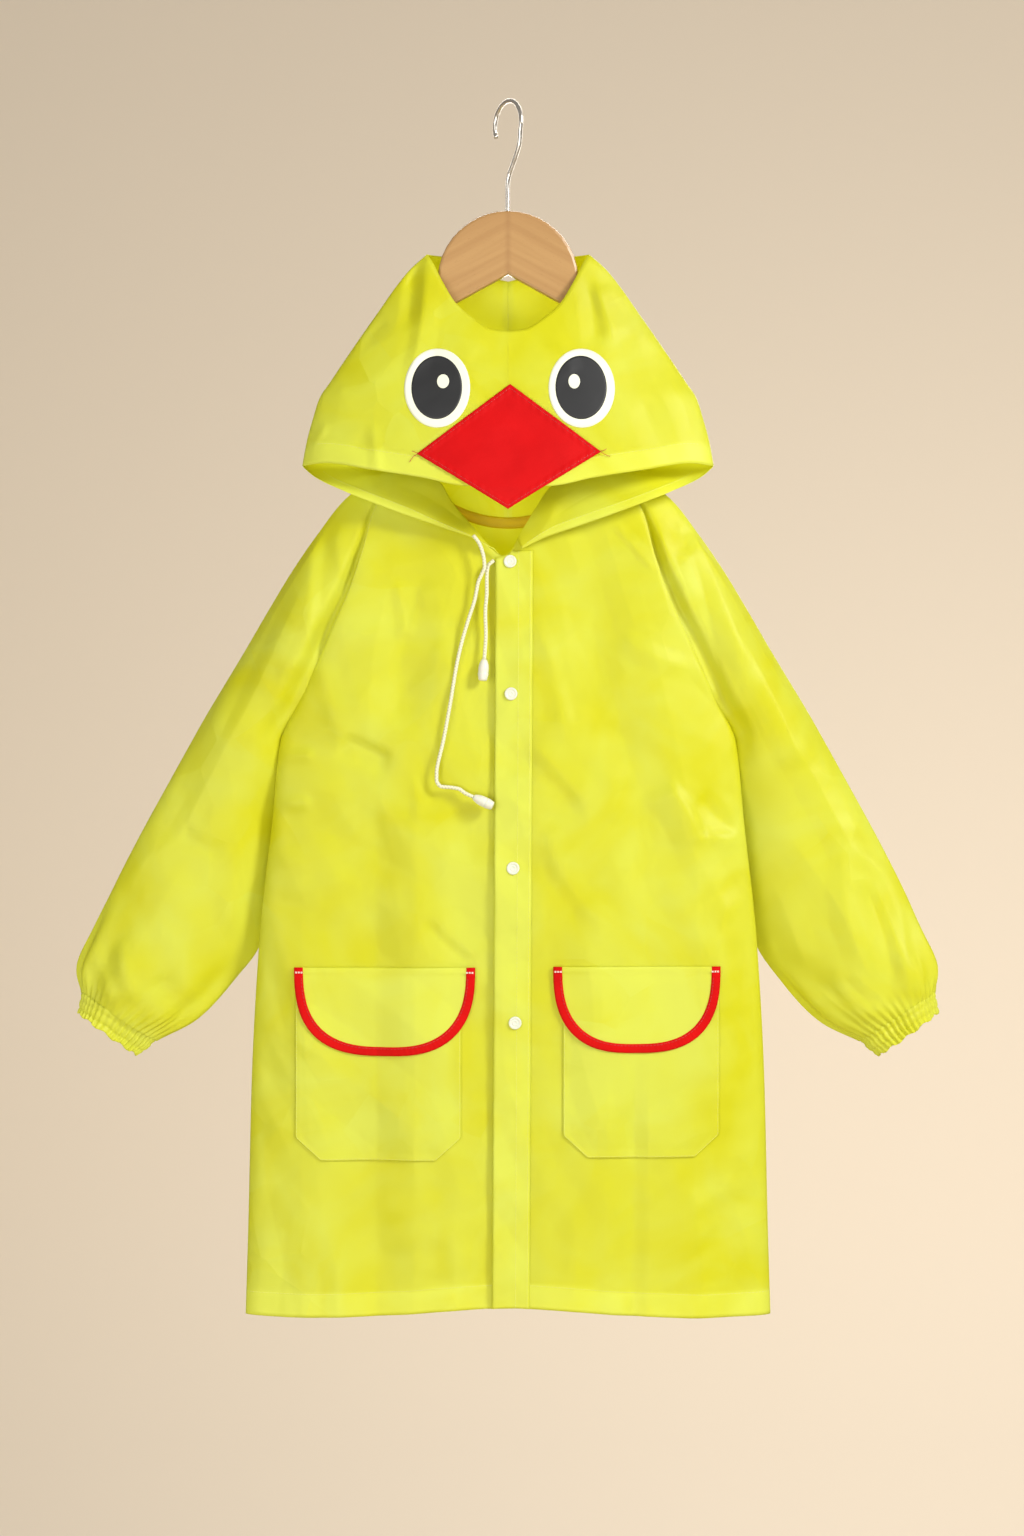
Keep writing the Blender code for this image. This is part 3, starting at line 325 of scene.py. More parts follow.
def placket_surface(u, v):
    """The left front's folded edge: a strip that follows the front, moved out, with its edges turned down."""
    inner = blend(*FRONT_INNER_EDGE[LEFT], v)
    x = blend(inner, inner + PLACKET_WIDTH, u)
    top = np.minimum(read(NECK_FRONT[LEFT], "height", x), PLACKET_TOP) - 1.0
    z = blend(top, hem_height(x), v)
    edge = 1 - smooth(u / 0.06) + 1 - smooth((1 - u) / 0.04)
    pucker = 0.35 * np.sin(z / 5.1 + 2 * np.sin(z / 23)) * smooth(1 - np.abs(u - PLACKET_SEAMS[0]) / 0.2)
    return vec(x, front_y(x, z) - 1.5 + 0.7 * edge - pucker, z)


def neck_band_surface(u, v):
    """A tape along the back's neck edge, moved in."""
    share = 2 * u - 1
    place = neck_back(np.where(share < 0, -1.0, 1.0), 1 - 0.55 * np.abs(share))
    return place + vec(0, -1.4, -5 + 10 * v)


# The sleeves

SLEEVE = table(
    "station in_x in_z in_y out_x out_z out_y swell_front swell_back trough",
    (0, 92, -327, 0, 100, -322, 0, 1, 1, 0), (0.07, 117, -359, 0, 142, -349, 1, 4, 4, 3),
    (0.14, 129, -400, 0, 168, -381, 3, 8, 8, 7), (0.21, 141, -435, 0, 191, -414, 6, 13, 12, 9),
    (0.28, 157, -470, 0, 213, -450, 9, 17, 15, 9), (0.34, 170, -499, 0, 233, -484, 12, 20, 18, 8),
    (0.40, 184.5, -530, 0, 250, -512, 14, 22, 20, 6), (0.46, 205.5, -567, 2, 267, -540, 16, 23, 22, 2),
    (0.52, 204.4, -602, 10, 284, -570, 17, 24, 24, 0), (0.60, 203, -650, 22, 304, -606, 18, 25, 26, 0),
    (0.70, 208, -705, 24, 327, -648, 18, 26, 27, 0), (0.79, 222, -748, 22, 349, -691, 18, 26, 27, 0),
    (0.87, 246, -780, 20, 368, -732, 17, 25, 26, 0), (0.94, 280, -814, 16, 382, -768, 16, 22, 23, 0),
    (1.00, 313, -831, 14, 379, -789, 15, 15, 15, 0),
)
ARMPIT_STATION = 0.46
TROUGH_PLACE, TROUGH_WIDTH = 0.14, 0.10
SEAM_TUCK = 4.0
SLEEVE_HANDLING, HOOD_HANDLING = 0.7, 0.5
CUFF_GATHERS = 38
SLEEVE_CREASES = {
    RIGHT: table(
        CREASE,
        (-172, -372, -174, -520, -2, 5.6, 76, 11), (-178, -420, -250, -575, 2, 1.5, 10, 12),
        (-240, -552, -292, -652, 0, 1.3, 12, 10), (-196, -440, -262, -580, -2, -1.0, 9, 9),
        (-290, -640, -248, -662, -6, -1.8, 12, 8), (-250, -656, -248, -740, 6, 1.8, 16, 14),
        (-344, -694, -288, -652, 6, 1.6, 16, 12), (-205, -506, -176, -500, 3, 1.3, 9, 12),
        (-330, -700, -318, -768, 6, -2.0, 16, 20), (-346, -738, -326, -800, -2, 3.2, 12, 10),
        (-316, -774, -286, -812, 4, -3.4, 12, 16), (-312, -824, -262, -792, -3, 2.6, 8, 12),
        (-370, -742, -352, -800, 2, 2.4, 10, 10), (-270, -690, -286, -780, -5, 1.5, 20, 16),
        (-150, -372, -140, -430, -4, 2.4, 10, 12), (-232, -620, -216, -700, 4, 1.4, 14, 14),
    ),
    LEFT: table(
        CREASE,
        (164, -372, 216, -500, -2, 6.0, 26, 34), (204, -470, 262, -592, 3, 5.0, 24, 34),
        (246, -556, 308, -668, 2, 4.0, 22, 30), (300, -648, 326, -782, -14, 3.6, 16, 22),
        (300, -654, 346, -680, -4, 2.2, 14, 10), (344, -668, 352, -796, 3, 2.6, 14, 12),
        (240, -640, 324, -770, 5, 1.8, 16, 16), (314, -688, 344, -784, 3, -3.6, 14, 9),
        (160, -390, 190, -540, 4, -4.0, 16, 20), (150, -372, 156, -402, 2, -2.8, 10, 12),
        (132, -372, 142, -440, 3, 2.2, 9, 9), (274, -784, 318, -816, -3, 2.4, 12, 9),
        (296, -770, 330, -800, -4, -2.8, 12, 10), (360, -730, 370, -800, 3, 2.2, 10, 9),
        (232, -690, 262, -780, 6, 1.5, 18, 16),
    ),
}
SLEEVE_BACK_CREASES = table(
    CREASE,
    (166, -376, 200, -510, 3, 4.0, 22, 30), (196, -480, 262, -610, 4, 3.4, 22, 26),
    (256, -590, 312, -700, -4, 2.6, 20, 18), (298, -670, 330, -790, 8, 2.6, 16, 14),
    (214, -600, 262, -640, 6, 1.8, 12, 12), (226, -660, 300, -760, 5, 1.8, 18, 16),
    (340, -690, 352, -796, 3, 2.2, 12, 12), (290, -776, 326, -812, -4, -2.6, 12, 10),
    (186, -560, 232, -560, 6, 1.6, 12, 10), (364, -740, 362, -802, 2, 1.8, 9, 9),
)


def up_to_seam(u):
    """Moves a grid's last column but one up to its centre seam, so that its shading stays flat to the very edge."""
    return np.where(u < 1, u * 0.9985 / u[u < 1].max(), 1) if np.ndim(u) == 2 else u


def gathers(turn, side):
    """Uneven gathers round a cuff: one sine whose phase wanders with two slower ones."""
    angle = 2 * math.pi * turn
    wander = 0.9 * np.sin(3 * angle + side) + 0.6 * np.sin(5 * angle - 1.3 * side)
    size = 0.64 + 0.24 * np.sin(4 * angle + 2 * side) + 0.12 * np.sin(9 * angle - side)
    return size * np.sin(CUFF_GATHERS * angle + wander)


def sleeve_surface(side, u, v):
    """Round from the front seam over the outer fold to the back seam: a line swollen by sin(pi s)^0.62."""
    v = up_to_seam(v)
    x_in, z_in, y_in, x_out, z_out, y_out, front, back, trough = read_all(SLEEVE, v)
    on_front = u <= 0.5
    across = 1 - np.abs(2 * u - 1)
    share = (1 - np.cos(math.pi * across)) / 2
    open_part = 1 - smooth((v - ARMPIT_STATION + 0.05) / 0.05)
    at_front, at_back = -body_depth(x_in, z_in, "front") + 1.4, body_depth(x_in, z_in, "back") - 1.2
    y_seam = blend(y_in, np.where(on_front, at_front, at_back), open_part)
    tuck = SEAM_TUCK * (1 - smooth((v - 0.5) / 0.1))
    x, z = blend(x_in - tuck, x_out, share), blend(z_in, z_out, share)
    y = blend(y_seam, y_out, share)
    swell = np.maximum(np.sin(math.pi * share), 0) ** 0.62
    free = smooth(share / 0.12) * smooth((1 - share) / 0.12)
    in_front, behind = creases(SLEEVE_CREASES[side], side * x, z), creases(SLEEVE_BACK_CREASES, x, z)
    folds = np.where(on_front, in_front, behind) + SLEEVE_HANDLING * swells(side * x + 400, z)
    angle = 2 * math.pi * u
    near_cuff = smooth((v - 0.8) / 0.12) * (1 - smooth((v - 0.95) / 0.05))
    pucker = 1.3 * gathers(u, side) * smooth((v - 0.93) / 0.07)
    pucker += 2.0 * np.sin(9 * angle + 2 * side + 1.2 * np.sin(2 * angle)) * near_cuff
    out = -np.cos(math.pi * across) * pucker / np.hypot(x_out - x_in, z_out - z_in)
    fold_in = trough * np.exp(-(((share - TROUGH_PLACE) / TROUGH_WIDTH) ** 2))
    raised = folds * free + pucker * np.sin(math.pi * across)
    y = np.where(on_front, y + fold_in - front * swell - raised, y + back * swell + raised)
    return vec(side * (x + (x_out - x_in) * out), y, z + (z_out - z_in) * out)


CUFF = table(
    "station in_x in_z out_x out_z depth",
    (0.0, 312.0, -829.0, 378.8, -787.2, 15), (0.3, 318, -835, 380, -795, 13.5), (0.7, 324, -840, 381, -801, 12.5),
    (1.0, 330, -843.5, 382, -806, 14.5),
)
CUFF_MIDDLE_Y = 14.5


def cuff_surface(side, u, v):
    """An elastic casing: an oval round the wrist whose radius swings with the gathers, pinched at two seams."""
    angle = 2 * math.pi * u
    x_in, z_in, x_out, z_out, depth = read_all(CUFF, v)
    pinch = 1.0 * (np.exp(-(((v - 0.22) / 0.07) ** 2)) + np.exp(-(((v - 0.7) / 0.07) ** 2)))
    tucked = 1.0 * (1 - smooth(v / 0.14))
    wave = gathers(u, side) * (1.2 + 0.4 * v * v) - pinch - tucked
    share = (1 - np.cos(angle) * (1 + wave / 36)) / 2
    slip = 0.9 * np.sin(11 * angle + side) * v * v
    x, z = blend(x_in, x_out, share), blend(z_in, z_out, share)
    return vec(side * (x + 0.5 * slip), CUFF_MIDDLE_Y - (depth + wave) * np.sin(angle), z - slip)


# The hood

HOOD_FOLD = table(
    "height across depth",
    (-130, 67, 0), (-134, 71.5, 0), (-148.5, 87.5, 0), (-190, 118, -1), (-229.5, 145, -4), (-248, 157, -7),
    (-262, 166, -10), (-281, 172, -12), (-300, 177, -14), (-323, 181, -17), (-346, 184, -18),
)
HOOD_FRONT = table(
    "height depth",
    (-130, 10), (-150, 12), (-180, 18.5), (-205, 26), (-235, 34), (-270, 43), (-310, 53), (-345, 60),
)
CROWN_FRONT = table(
    "across height",
    (0, -205), (15, -203), (32, -192), (46, -179), (58, -159), (66, -143), (71.5, -134),
)
CROWN_BACK = table("across height", (0, -156.6), (20, -152), (40, -142), (56, -135.5), (71.5, -134))
RIM_FRONT = table(
    "across height",
    (0, -345), (40, -343), (75, -335.6), (118, -328.4), (162, -321.4), (181, -323),
)
HOOD_OUTER = table(
    "turn across height depth",
    (0, 12, -396, -25), (0.12, 33, -386, -27), (0.22, 58, -377.5, -29), (0.34, 101, -362.5, -30),
    (0.44, 145, -345, -27), (0.50, 170, -332.5, -21), (0.54, 181, -323, -17),
)
SIDE_START, SIDE_END = 0.54, 0.90
CROWN_BACK_DEPTH = 13.5
HOOD_SWELL = table(
    "turn swell",
    (0.0, -1), (0.2, -3), (0.40, -3), (0.47, 2), (0.54, 12), (0.62, 18), (0.75, 22), (0.88, 20), (1.0, 17),
)
NECK_RUN = table("turn across", (0.0, 8), (0.12, 26), (0.25, 48), (0.36, 66), (0.48, 92))
NECK_BACK_TURN = 0.62
FLAP_SHARE, SIDE_SHARE = 0.35, 0.45
HOOD_BUTT = 0.9
# Half of what is open between the two halves of the hood, and of what their seam folds double.
SEAM_GAP, SEAM_FOLD = 0.02, 3.5
HOOD_LAP = 1.5
# How far down the hood's lower part its turned edge starts, and where its stitching lies.
EDGE_BAND, EDGE_SEAM = 0.66, 0.70
# How far the beak and the snap caps stand out from the cloth under them.
BEAK_LIFT, CAP_LIFT = 1.7, 1.7
HOOD_CREASES = table(
    CREASE,
    (-86, -140, -90, -204, 2, -3.6, 9, 12), (-72, -126, -88, -252, 5, 3.4, 9, 16),
    (-140, -218, -102, -196, 3, -1.6, 12, 10), (-120, -284, -114, -336, 1, 1.8, 8, 8),
    (-176, -310, -158, -286, 0, 2.0, 5, 6), (-150, -246, -120, -300, -4, 1.2, 16, 20),
    (76, -160, 92, -216, 2, 3.0, 8, 24), (70, -150, 78, -222, 1, -2.6, 14, 8), (104, -158, 128, -216, 4, 1.6, 18, 18),
    (132, -240, 162, -300, 6, 1.4, 18, 20), (118, -262, 150, -330, -5, -1.4, 16, 18),
    (-60, -196, -30, -232, 4, 0.9, 14, 14), (40, -214, 56, -246, 3, 0.9, 12, 12),
    (-140, -300, -84, -338, 2, -0.9, 12, 16),
)
COLLAR_CREASES = table(
    CREASE,
    (-150, -350, -60, -384, 3, 1.6, 10, 14), (-96, -340, -34, -378, 4, -1.4, 12, 10),
    (150, -348, 64, -378, -3, 1.6, 12, 10), (100, -338, 34, -374, -4, -1.4, 10, 12),
    (-44, -352, -20, -392, -2, 1.0, 8, 8), (46, -350, 22, -390, 2, 1.0, 8, 8),
)
HOOD_BACK_CREASES = table(
    CREASE,
    (-60, -160, -100, -300, 6, 3.0, 20, 24), (64, -160, 96, -290, -6, 2.8, 24, 20),
    (-120, -220, -150, -320, 4, 2.0, 16, 18), (122, -226, 148, -316, -5, 2.0, 18, 16),
    (-30, -230, -34, -350, 4, 1.6, 16, 18), (28, -250, 36, -356, -4, 1.6, 18, 16),
    (-90, -320, -30, -350, 4, -1.8, 14, 12), (94, -318, 34, -352, -4, -1.8, 12, 14),
)


def hood_outer(side, turn):
    """The outer edge round from the throat: the free edge, the side fold and the crown's back edge."""
    turn = np.asarray(turn, float)
    low = [read(HOOD_OUTER, name, turn) for name in ("across", "depth", "height")]
    up = (turn - SIDE_START) / (SIDE_END - SIDE_START)
    fold_z = blend(HOOD_OUTER["height"][-1], CROWN_BACK["height"][-1], np.clip(up, 0, 1))
    side_fold = [*read_all(HOOD_FOLD, fold_z), fold_z]
    over = np.clip((turn - SIDE_END) / (1 - SIDE_END), 0, 1)
    crown_x = CROWN_BACK["across"][-1] * (1 - over)
    crown = [crown_x, CROWN_BACK_DEPTH * over ** (1 / 3), read(CROWN_BACK, "height", crown_x)]
    high = [np.where(turn <= SIDE_END, *both) for both in zip(side_fold, crown)]
    x, y, z = (np.where(turn <= SIDE_START, *both) for both in zip(low, high))
    return vec(side * np.maximum(x, SEAM_GAP), y, z)


def hood_neck(side, turn):
    """The seam round the neck: lapped over the fronts, then over the shoulder, then butted to the back."""
    turn = np.asarray(turn, float)

    def on_front(across, lift):
        """A point on the front's neck edge, outside the front and a little above it as it nears the shoulder."""
        x, z = side * across, read(NECK_FRONT[side], "height", across)
        return vec(x, front_y(x, z) - HOOD_LAP - CLEARANCE * lift, z + HOOD_BUTT * lift)

    def on_back(share):
        """A point just above the back's neck edge."""
        return neck_back(side, share) + [0, 0, HOOD_BUTT]

    last = NECK_RUN["turn"][-1]
    front = on_front(read(NECK_RUN, "across", turn), smooth((turn - 0.36) / 0.10))
    share = np.clip((turn - last) / (NECK_BACK_TURN - last), 0, 1)
    shoulder = vec(side * SLEEVE["out_x"][0], 0, SLEEVE["out_z"][0] + 1.7 * HOOD_BUTT)
    flat = mix(on_front(NECK_RUN["across"][-1], 1), on_back(np.float64(0)), share)
    over = mix(flat, shoulder, 1 - np.abs(2 * share - 1))
    back = on_back(np.clip((turn - NECK_BACK_TURN) / (1 - NECK_BACK_TURN), 0, 1))
    back[..., 0] = side * np.maximum(np.abs(back[..., 0]), SEAM_GAP)
    return np.where((turn <= last)[..., None], front, np.where((turn <= NECK_BACK_TURN)[..., None], over, back))


def hood_turn(u):
    """Where u falls on the way round: its first part on the lower edge, its second on the side, the rest above."""
    return np.interp(u, (0, FLAP_SHARE, FLAP_SHARE + SIDE_SHARE, 1), (0, SIDE_START, SIDE_END, 1))


def hood_lower_surface(side, u, v):
    """From the neck's seam out to the outer edge, swollen by the square root of what is left of the way."""
    turn = hood_turn(up_to_seam(u))
    out = 1 - (1 - v) ** 1.5
    place = mix(hood_neck(side, turn), hood_outer(side, turn), out)
    place[..., 1] += read(HOOD_SWELL, "swell", turn) * 2.6 * out * np.sqrt(np.maximum(1 - out, 0))
    x, z = place[..., 0], place[..., 2]
    inside = smooth(v / 0.15) * smooth((1 - v) / 0.1)
    in_front = 1 - smooth((turn - 0.42) / 0.1)
    behind = smooth((turn - 0.58) / 0.08) * smooth((1 - turn) / 0.04)
    place[..., 1] -= creases(COLLAR_CREASES, x, z) * in_front * smooth(v / 0.2)
    place[..., 1] += creases(HOOD_BACK_CREASES, x, z) * behind * inside
    place[..., 1] -= BAND_RISE * (smooth((v - EDGE_BAND) / 0.03) * in_front)
    return place


def hood_front_y(x, z):
    """Fold depth + (front depth - fold depth) * (1 - |x / half width|^2)^0.6, less its creases."""
    width, fold = read_all(HOOD_FOLD, z)
    share = np.clip(np.abs(x) / width, 0, 1)
    smooth_y = fold + (-read(HOOD_FRONT, "depth", z) - fold) * (1 - share**2.0) ** 0.6
    free = 1 - smooth((share - 0.9) / 0.1)
    return smooth_y - (creases(HOOD_CREASES, x, z) + HOOD_HANDLING * swells(x, z)) * free


def rim_height(x):
    """The height of the hood's rim, the same on both sides."""
    return read(RIM_FRONT, "height", np.abs(x))


def rim_band(x, z):
    """One where the hood's rim is turned in, and nothing above its stitching."""
    return smooth((rim_height(x) + RIM_DEPTH - z) / BAND_START)


def hood_front_surface(side, u, v):
    """A patch between the side fold, the crown's edge, the front seam and the rim: the sum of the two ways of
    blending its edges, less its blended corners."""
    crown, rim = CROWN_FRONT["height"][0], RIM_FRONT["height"][0]
    fold = hood_outer(side, blend(SIDE_END, SIDE_START, v))
    share = up_to_seam(u) ** 1.25

    def edge(rows):
        """The patch's top or bottom edge, from the side fold to the middle."""
        x = rows["across"][-1] * (1 - share)
        return vec(side * x, 0, read(rows, "height", x))

    middle = vec(0, 0, blend(crown, rim, v))
    ends = hood_outer(side, [SIDE_END, SIDE_START])
    corners = mix(mix(ends[0], vec(0, 0, crown), share), mix(ends[1], vec(0, 0, rim), share), v)
    place = mix(fold, middle, share) + mix(edge(CROWN_FRONT), edge(RIM_FRONT), v) - corners
    x = side * np.maximum(np.abs(place[..., 0]), SEAM_GAP)
    z = place[..., 2]
    y = hood_front_y(x, z) - BAND_RISE * rim_band(x, z) * smooth(u / 0.1)
    return np.where((u == 0)[..., None], fold, vec(x, y, z))


# The beak's four corners.
BEAK_TOP, BEAK_BOTTOM = np.array([1.8, 0, -252.8]), np.array([0, 0, -363.5])
BEAK_RIGHT, BEAK_LEFT = np.array([-79.4, 0, -314.7]), np.array([81.1, 0, -312.9])
# Loose ends of thread at the beak's side corners, by two points on the way, from the corner.
TAILS = table(
    "side bend_x bend_z end_x end_z",
    (RIGHT, -3.0, 1.8, -4.6, 2.4), (RIGHT, -3.6, -3.2, -6.4, -7.2), (LEFT, 3.2, 1.6, 4.8, 2.6),
    (LEFT, 3.4, -2.4, 8.0, -4.2),
)
EYES = table(
    "side layer centre_x centre_z half_width half_height",
    (RIGHT, 1, -62.0, -255.9, 28.9, 35.5), (RIGHT, 2, -62.4, -255.4, 22.3, 28.5), (RIGHT, 3, -56.9, -250.0, 5.3, 6.3),
    (LEFT, 1, 64.6, -256.0, 29.1, 35.5), (LEFT, 2, 64.0, -255.4, 22.5, 28.6), (LEFT, 3, 58.0, -250.0, 5.1, 6.5),
)


def beak_surface(u, v):
    """A diamond between its four corners, laid on the hood's front and past its rim, its edges turned under."""
    place = mix(mix(BEAK_TOP, BEAK_RIGHT, u), mix(BEAK_LEFT, BEAK_BOTTOM, u), v)
    x, z = place[..., 0], place[..., 2]
    edge = np.minimum(np.minimum(u, 1 - u), np.minimum(v, 1 - v))
    doubled = 0.45 * smooth((0.07 - edge) / 0.015)
    pucker = 0.25 * np.sin((u - v) * 70) * smooth((0.09 - edge) / 0.05)
    on_hood = hood_front_y(x, np.maximum(z, RIM_FRONT["height"][0]))
    return vec(x, on_hood - BEAK_LIFT - doubled - pucker - 0.5 * smooth((edge - 0.02) / 0.3), z)


def eye_surface(layer, centre_x, centre_z, half_width, half_height, u, v):
    """A printed oval: rings of growing radius that follow the hood, moved out by its layer."""
    angle = 2 * math.pi * u
    x = centre_x + half_width * v * np.cos(angle)
    z = centre_z + half_height * v * np.sin(angle)
    return vec(x, hood_front_y(x, z) - CLEARANCE - 0.14 * layer, z)


# The pockets

# Each pocket by its left, its right, its mouth, the start of its cut corners, its bottom and the cut's width.
POCKETS = {RIGHT: (-187.5, -41.0, -781, -913.5, -934, 23.0), LEFT: (48.0, 186.0, -779, -911.0, -931, 22.0)}
# Each flap by its middle, its half width, its top and how far down it reaches.
FLAPS = {RIGHT: (-108.5, 79.3, -764.0, 77.5), LEFT: (113.2, 73.2, -763.0, 75.5)}
FLAP_ROUNDNESS = 2.7
BINDING_WIDTH = 8.0


def pocket_surface(side, u, v):
    """A patch with two cut corners, laid on the front and bagging a little at its mouth."""
    left, right, mouth, chamfer, bottom, cut = POCKETS[side]
    z = mouth - (mouth - bottom) * v
    cut = cut * np.clip((chamfer - z) / (chamfer - bottom), 0, 1)
    x = blend(left + cut, right - cut, u)
    edge = np.minimum(np.minimum(u, 1 - u) * (right - left), (1 - v) * (mouth - bottom))
    seam = 0.4 * smooth((6 - edge) / 1.5)
    return vec(x, layer_y(side, x, z, 1) + 0.5 - seam - 0.5 * smooth(edge / 30), z)


def flap_outline(side, angle, inset):
    """A point on the flap's edge by its angle: |x / a|^n + |z / b|^n = 1, a little inside."""
    middle, half_width, top, drop = FLAPS[side]
    power = 2 / FLAP_ROUNDNESS
    across = -np.sign(np.cos(angle)) * np.abs(np.cos(angle)) ** power
    down = np.maximum(np.sin(angle), 0) ** power
    return middle + (half_width - inset) * across, top - (drop - inset) * down


def flap_surface(side, u, v):
    """From the flap's straight top down to its rounded edge."""
    top = FLAPS[side][2]
    x, z = flap_outline(side, math.pi * u, 1.0)
    z = blend(top, z, v)
    return vec(x, layer_y(side, x, z, 2) - 0.5 * smooth((z - top + 6) / 1.5), z)


def binding_surface(side, u, v):
    """A tape folded over the flap's edge: a flattened round profile carried along the outline."""
    turn = 2 * math.pi * v
    inset = BINDING_WIDTH / 2 * (1 - np.cos(turn)) - 0.4
    x, z = flap_outline(side, math.pi * u, inset)
    bulge = 1.25 * np.sign(np.sin(turn)) * np.abs(np.sin(turn)) ** 0.55
    rib = 0.12 * np.sin(math.pi * u * 110)
    return vec(x, layer_y(side, x, z, 2) - 0.35 - bulge - rib, z)


# Where the cloth is folded double


def hem_fold(u, v, points):
    """One on the turned hem."""
    return hem_band(points[..., 0], points[..., 2])


def edge_fold(u, v, points):
    """One on the turned edge of the hood's lower part, and along the seam down its back."""
    back_seam = (np.abs(points[..., 0]) < SEAM_FOLD) & (hood_turn(u) > NECK_BACK_TURN)
    return np.maximum(smooth((v - EDGE_BAND) / 0.03) * (1 - smooth((hood_turn(u) - 0.46) / 0.06)), back_seam)


def rim_fold(u, v, points):
    """One on the turned rim of the hood."""
    return rim_band(points[..., 0], points[..., 2])


# Small pieces

SNAPS = table("number across height", (1, 1.8, -407), (2, 2.6, -523.6), (3, 4.4, -676.7), (4, 6.2, -812.2))
SNAP_PROFILE = table(
    "radius height",
    (0.0, 1.25), (1.3, 1.3), (1.7, 1.6), (2.2, 1.7), (2.6, 1.35), (3.1, 1.3), (3.7, 1.75), (4.6, 2.1), (5.2, 2.0),
    (5.6, 1.5), (5.7, 0.9), (5.5, 0.2), (5.2, 0.0), (0.0, 0.0),
)
CORD_LONG = table(
    "across before height",
    (-30.5, 11, -384.5), (-24, 10.5, -394), (-20.5, 9.5, -411), (-26, 6, -425), (-29, 4.5, -440), (-35, 4, -459),
    (-41, 4, -480), (-45, 4, -498), (-51, 4, -534), (-57, 4, -566), (-62, 4, -588), (-63, 4, -597), (-58.5, 4.5, -605),
    (-46, 5, -606), (-37, 5.5, -611), (-30.5, 6, -614),
)
CORD_SHORT = table(
    "across before height",
    (-12.7, 1.9, -406.3), (-16.2, 3.0, -408.5), (-18.6, 4.2, -416), (-18.6, 4, -434), (-19.9, 4, -452),
    (-19.4, 4, -471), (-20.8, 4, -493),
)
CORD_POINT_STEP = 7.5
CORD_DIAMETER = 3.2
CORD_END_PROFILE = table(
    "radius height",
    (0.0, 19.0), (2.4, 19.0), (3.4, 18.6), (3.9, 17.6), (4.3, 15.5), (4.65, 13.4), (4.75, 12.6), (4.4, 12.2),
    (4.4, 11.6), (4.6, 11.2), (4.55, 8.0), (4.2, 5.0), (3.3, 2.2), (2.6, 0.8), (2.1, 0.1), (0.0, 0.1),
)
WIRE_DIAMETER = 3.8
HOOK_RADIUS = 21.3
HOOK_TURN = math.radians(33)
HOOK_ROUTE = table(
    "across forward height",
    (-0.4, 0, -111), (-0.4, 0, -96), (-0.4, 0, -74), (0.2, 0.6, -67), (4.0, 5.4, -56), (8.0, 11.0, -45),
    (10.4, 15.0, -35),
)
HOOK_START, HOOK_END = math.radians(-22), math.radians(205)


def run_lengths(points):
    """How far along a line each of its points is."""
    return np.concatenate([[0], np.cumsum(np.linalg.norm(np.diff(points, axis=0), axis=1))])


def route_through(points, step):
    """Points at even steps along a smooth curve through the route's own points."""
    rows = dict(zip(("length", "x", "y", "z"), (run_lengths(points), *points.T)))
    end = rows["length"][-1]
    return np.stack(read_all(rows, np.linspace(0, end, max(int(round(end / step)), 2) + 1)), axis=1)


def plain_front_y(x, z):
    """The front's surface without its creases."""
    return -body_depth(x, z, "front")


def cord_route(rows):
    """A cord end's path: each of its points as far before the plain front as its table says."""
    y = plain_front_y(rows["across"], rows["height"]) - rows["before"]
    return route_through(vec(rows["across"], y, rows["height"]), CORD_POINT_STEP)


def hook_route():
    """The hook's wire: its stem, then an arc about the hook's middle, turned about the stem."""
    stem = vec(HOOK_ROUTE["across"], -HOOK_ROUTE["forward"], HOOK_ROUTE["height"])
    angle = np.linspace(HOOK_START, HOOK_END, 13)
    out, crown = HOOK_RADIUS * np.cos(angle), -HOOK_RADIUS + WIRE_DIAMETER / 2
    arc = vec(math.sin(HOOK_TURN) * out, -math.cos(HOOK_TURN) * out, crown + HOOK_RADIUS * np.sin(angle))
    return route_through(np.concatenate([stem, arc]), 6.0)


# Meshes


def parameters(columns, rows):
    """The two parameters of a grid, each from 0 to 1 in even steps."""
    return np.meshgrid(np.linspace(0, 1, columns + 1), np.linspace(0, 1, rows + 1))


def grid_faces(columns, rows, first=0):
    """Each cell of a grid of points as one face of four corners."""
    corner = np.arange(columns)[None, :] + (columns + 1) * np.arange(rows)[:, None] + first
    return np.stack([corner, corner + 1, corner + columns + 2, corner + columns + 1], axis=-1).reshape(-1, 4)


def edited(mesh, edit):
    """Runs an edit on a mesh and turns all its faces outwards."""
    working = bmesh.new()
    working.from_mesh(mesh)
    edit(working)
    bmesh.ops.recalc_face_normals(working, faces=working.faces)
    working.to_mesh(mesh)
    working.free()


def merge_doubles(working):
    """Merges the corners that lie within 0.002 mm of each other."""
    bmesh.ops.remove_doubles(working, verts=working.verts, dist=2e-6)


def close_ends(working):
    """Closes a tube's open ends with one face each."""
    bmesh.ops.holes_fill(working, edges=[e for e in working.edges if e.is_boundary], sides=0)


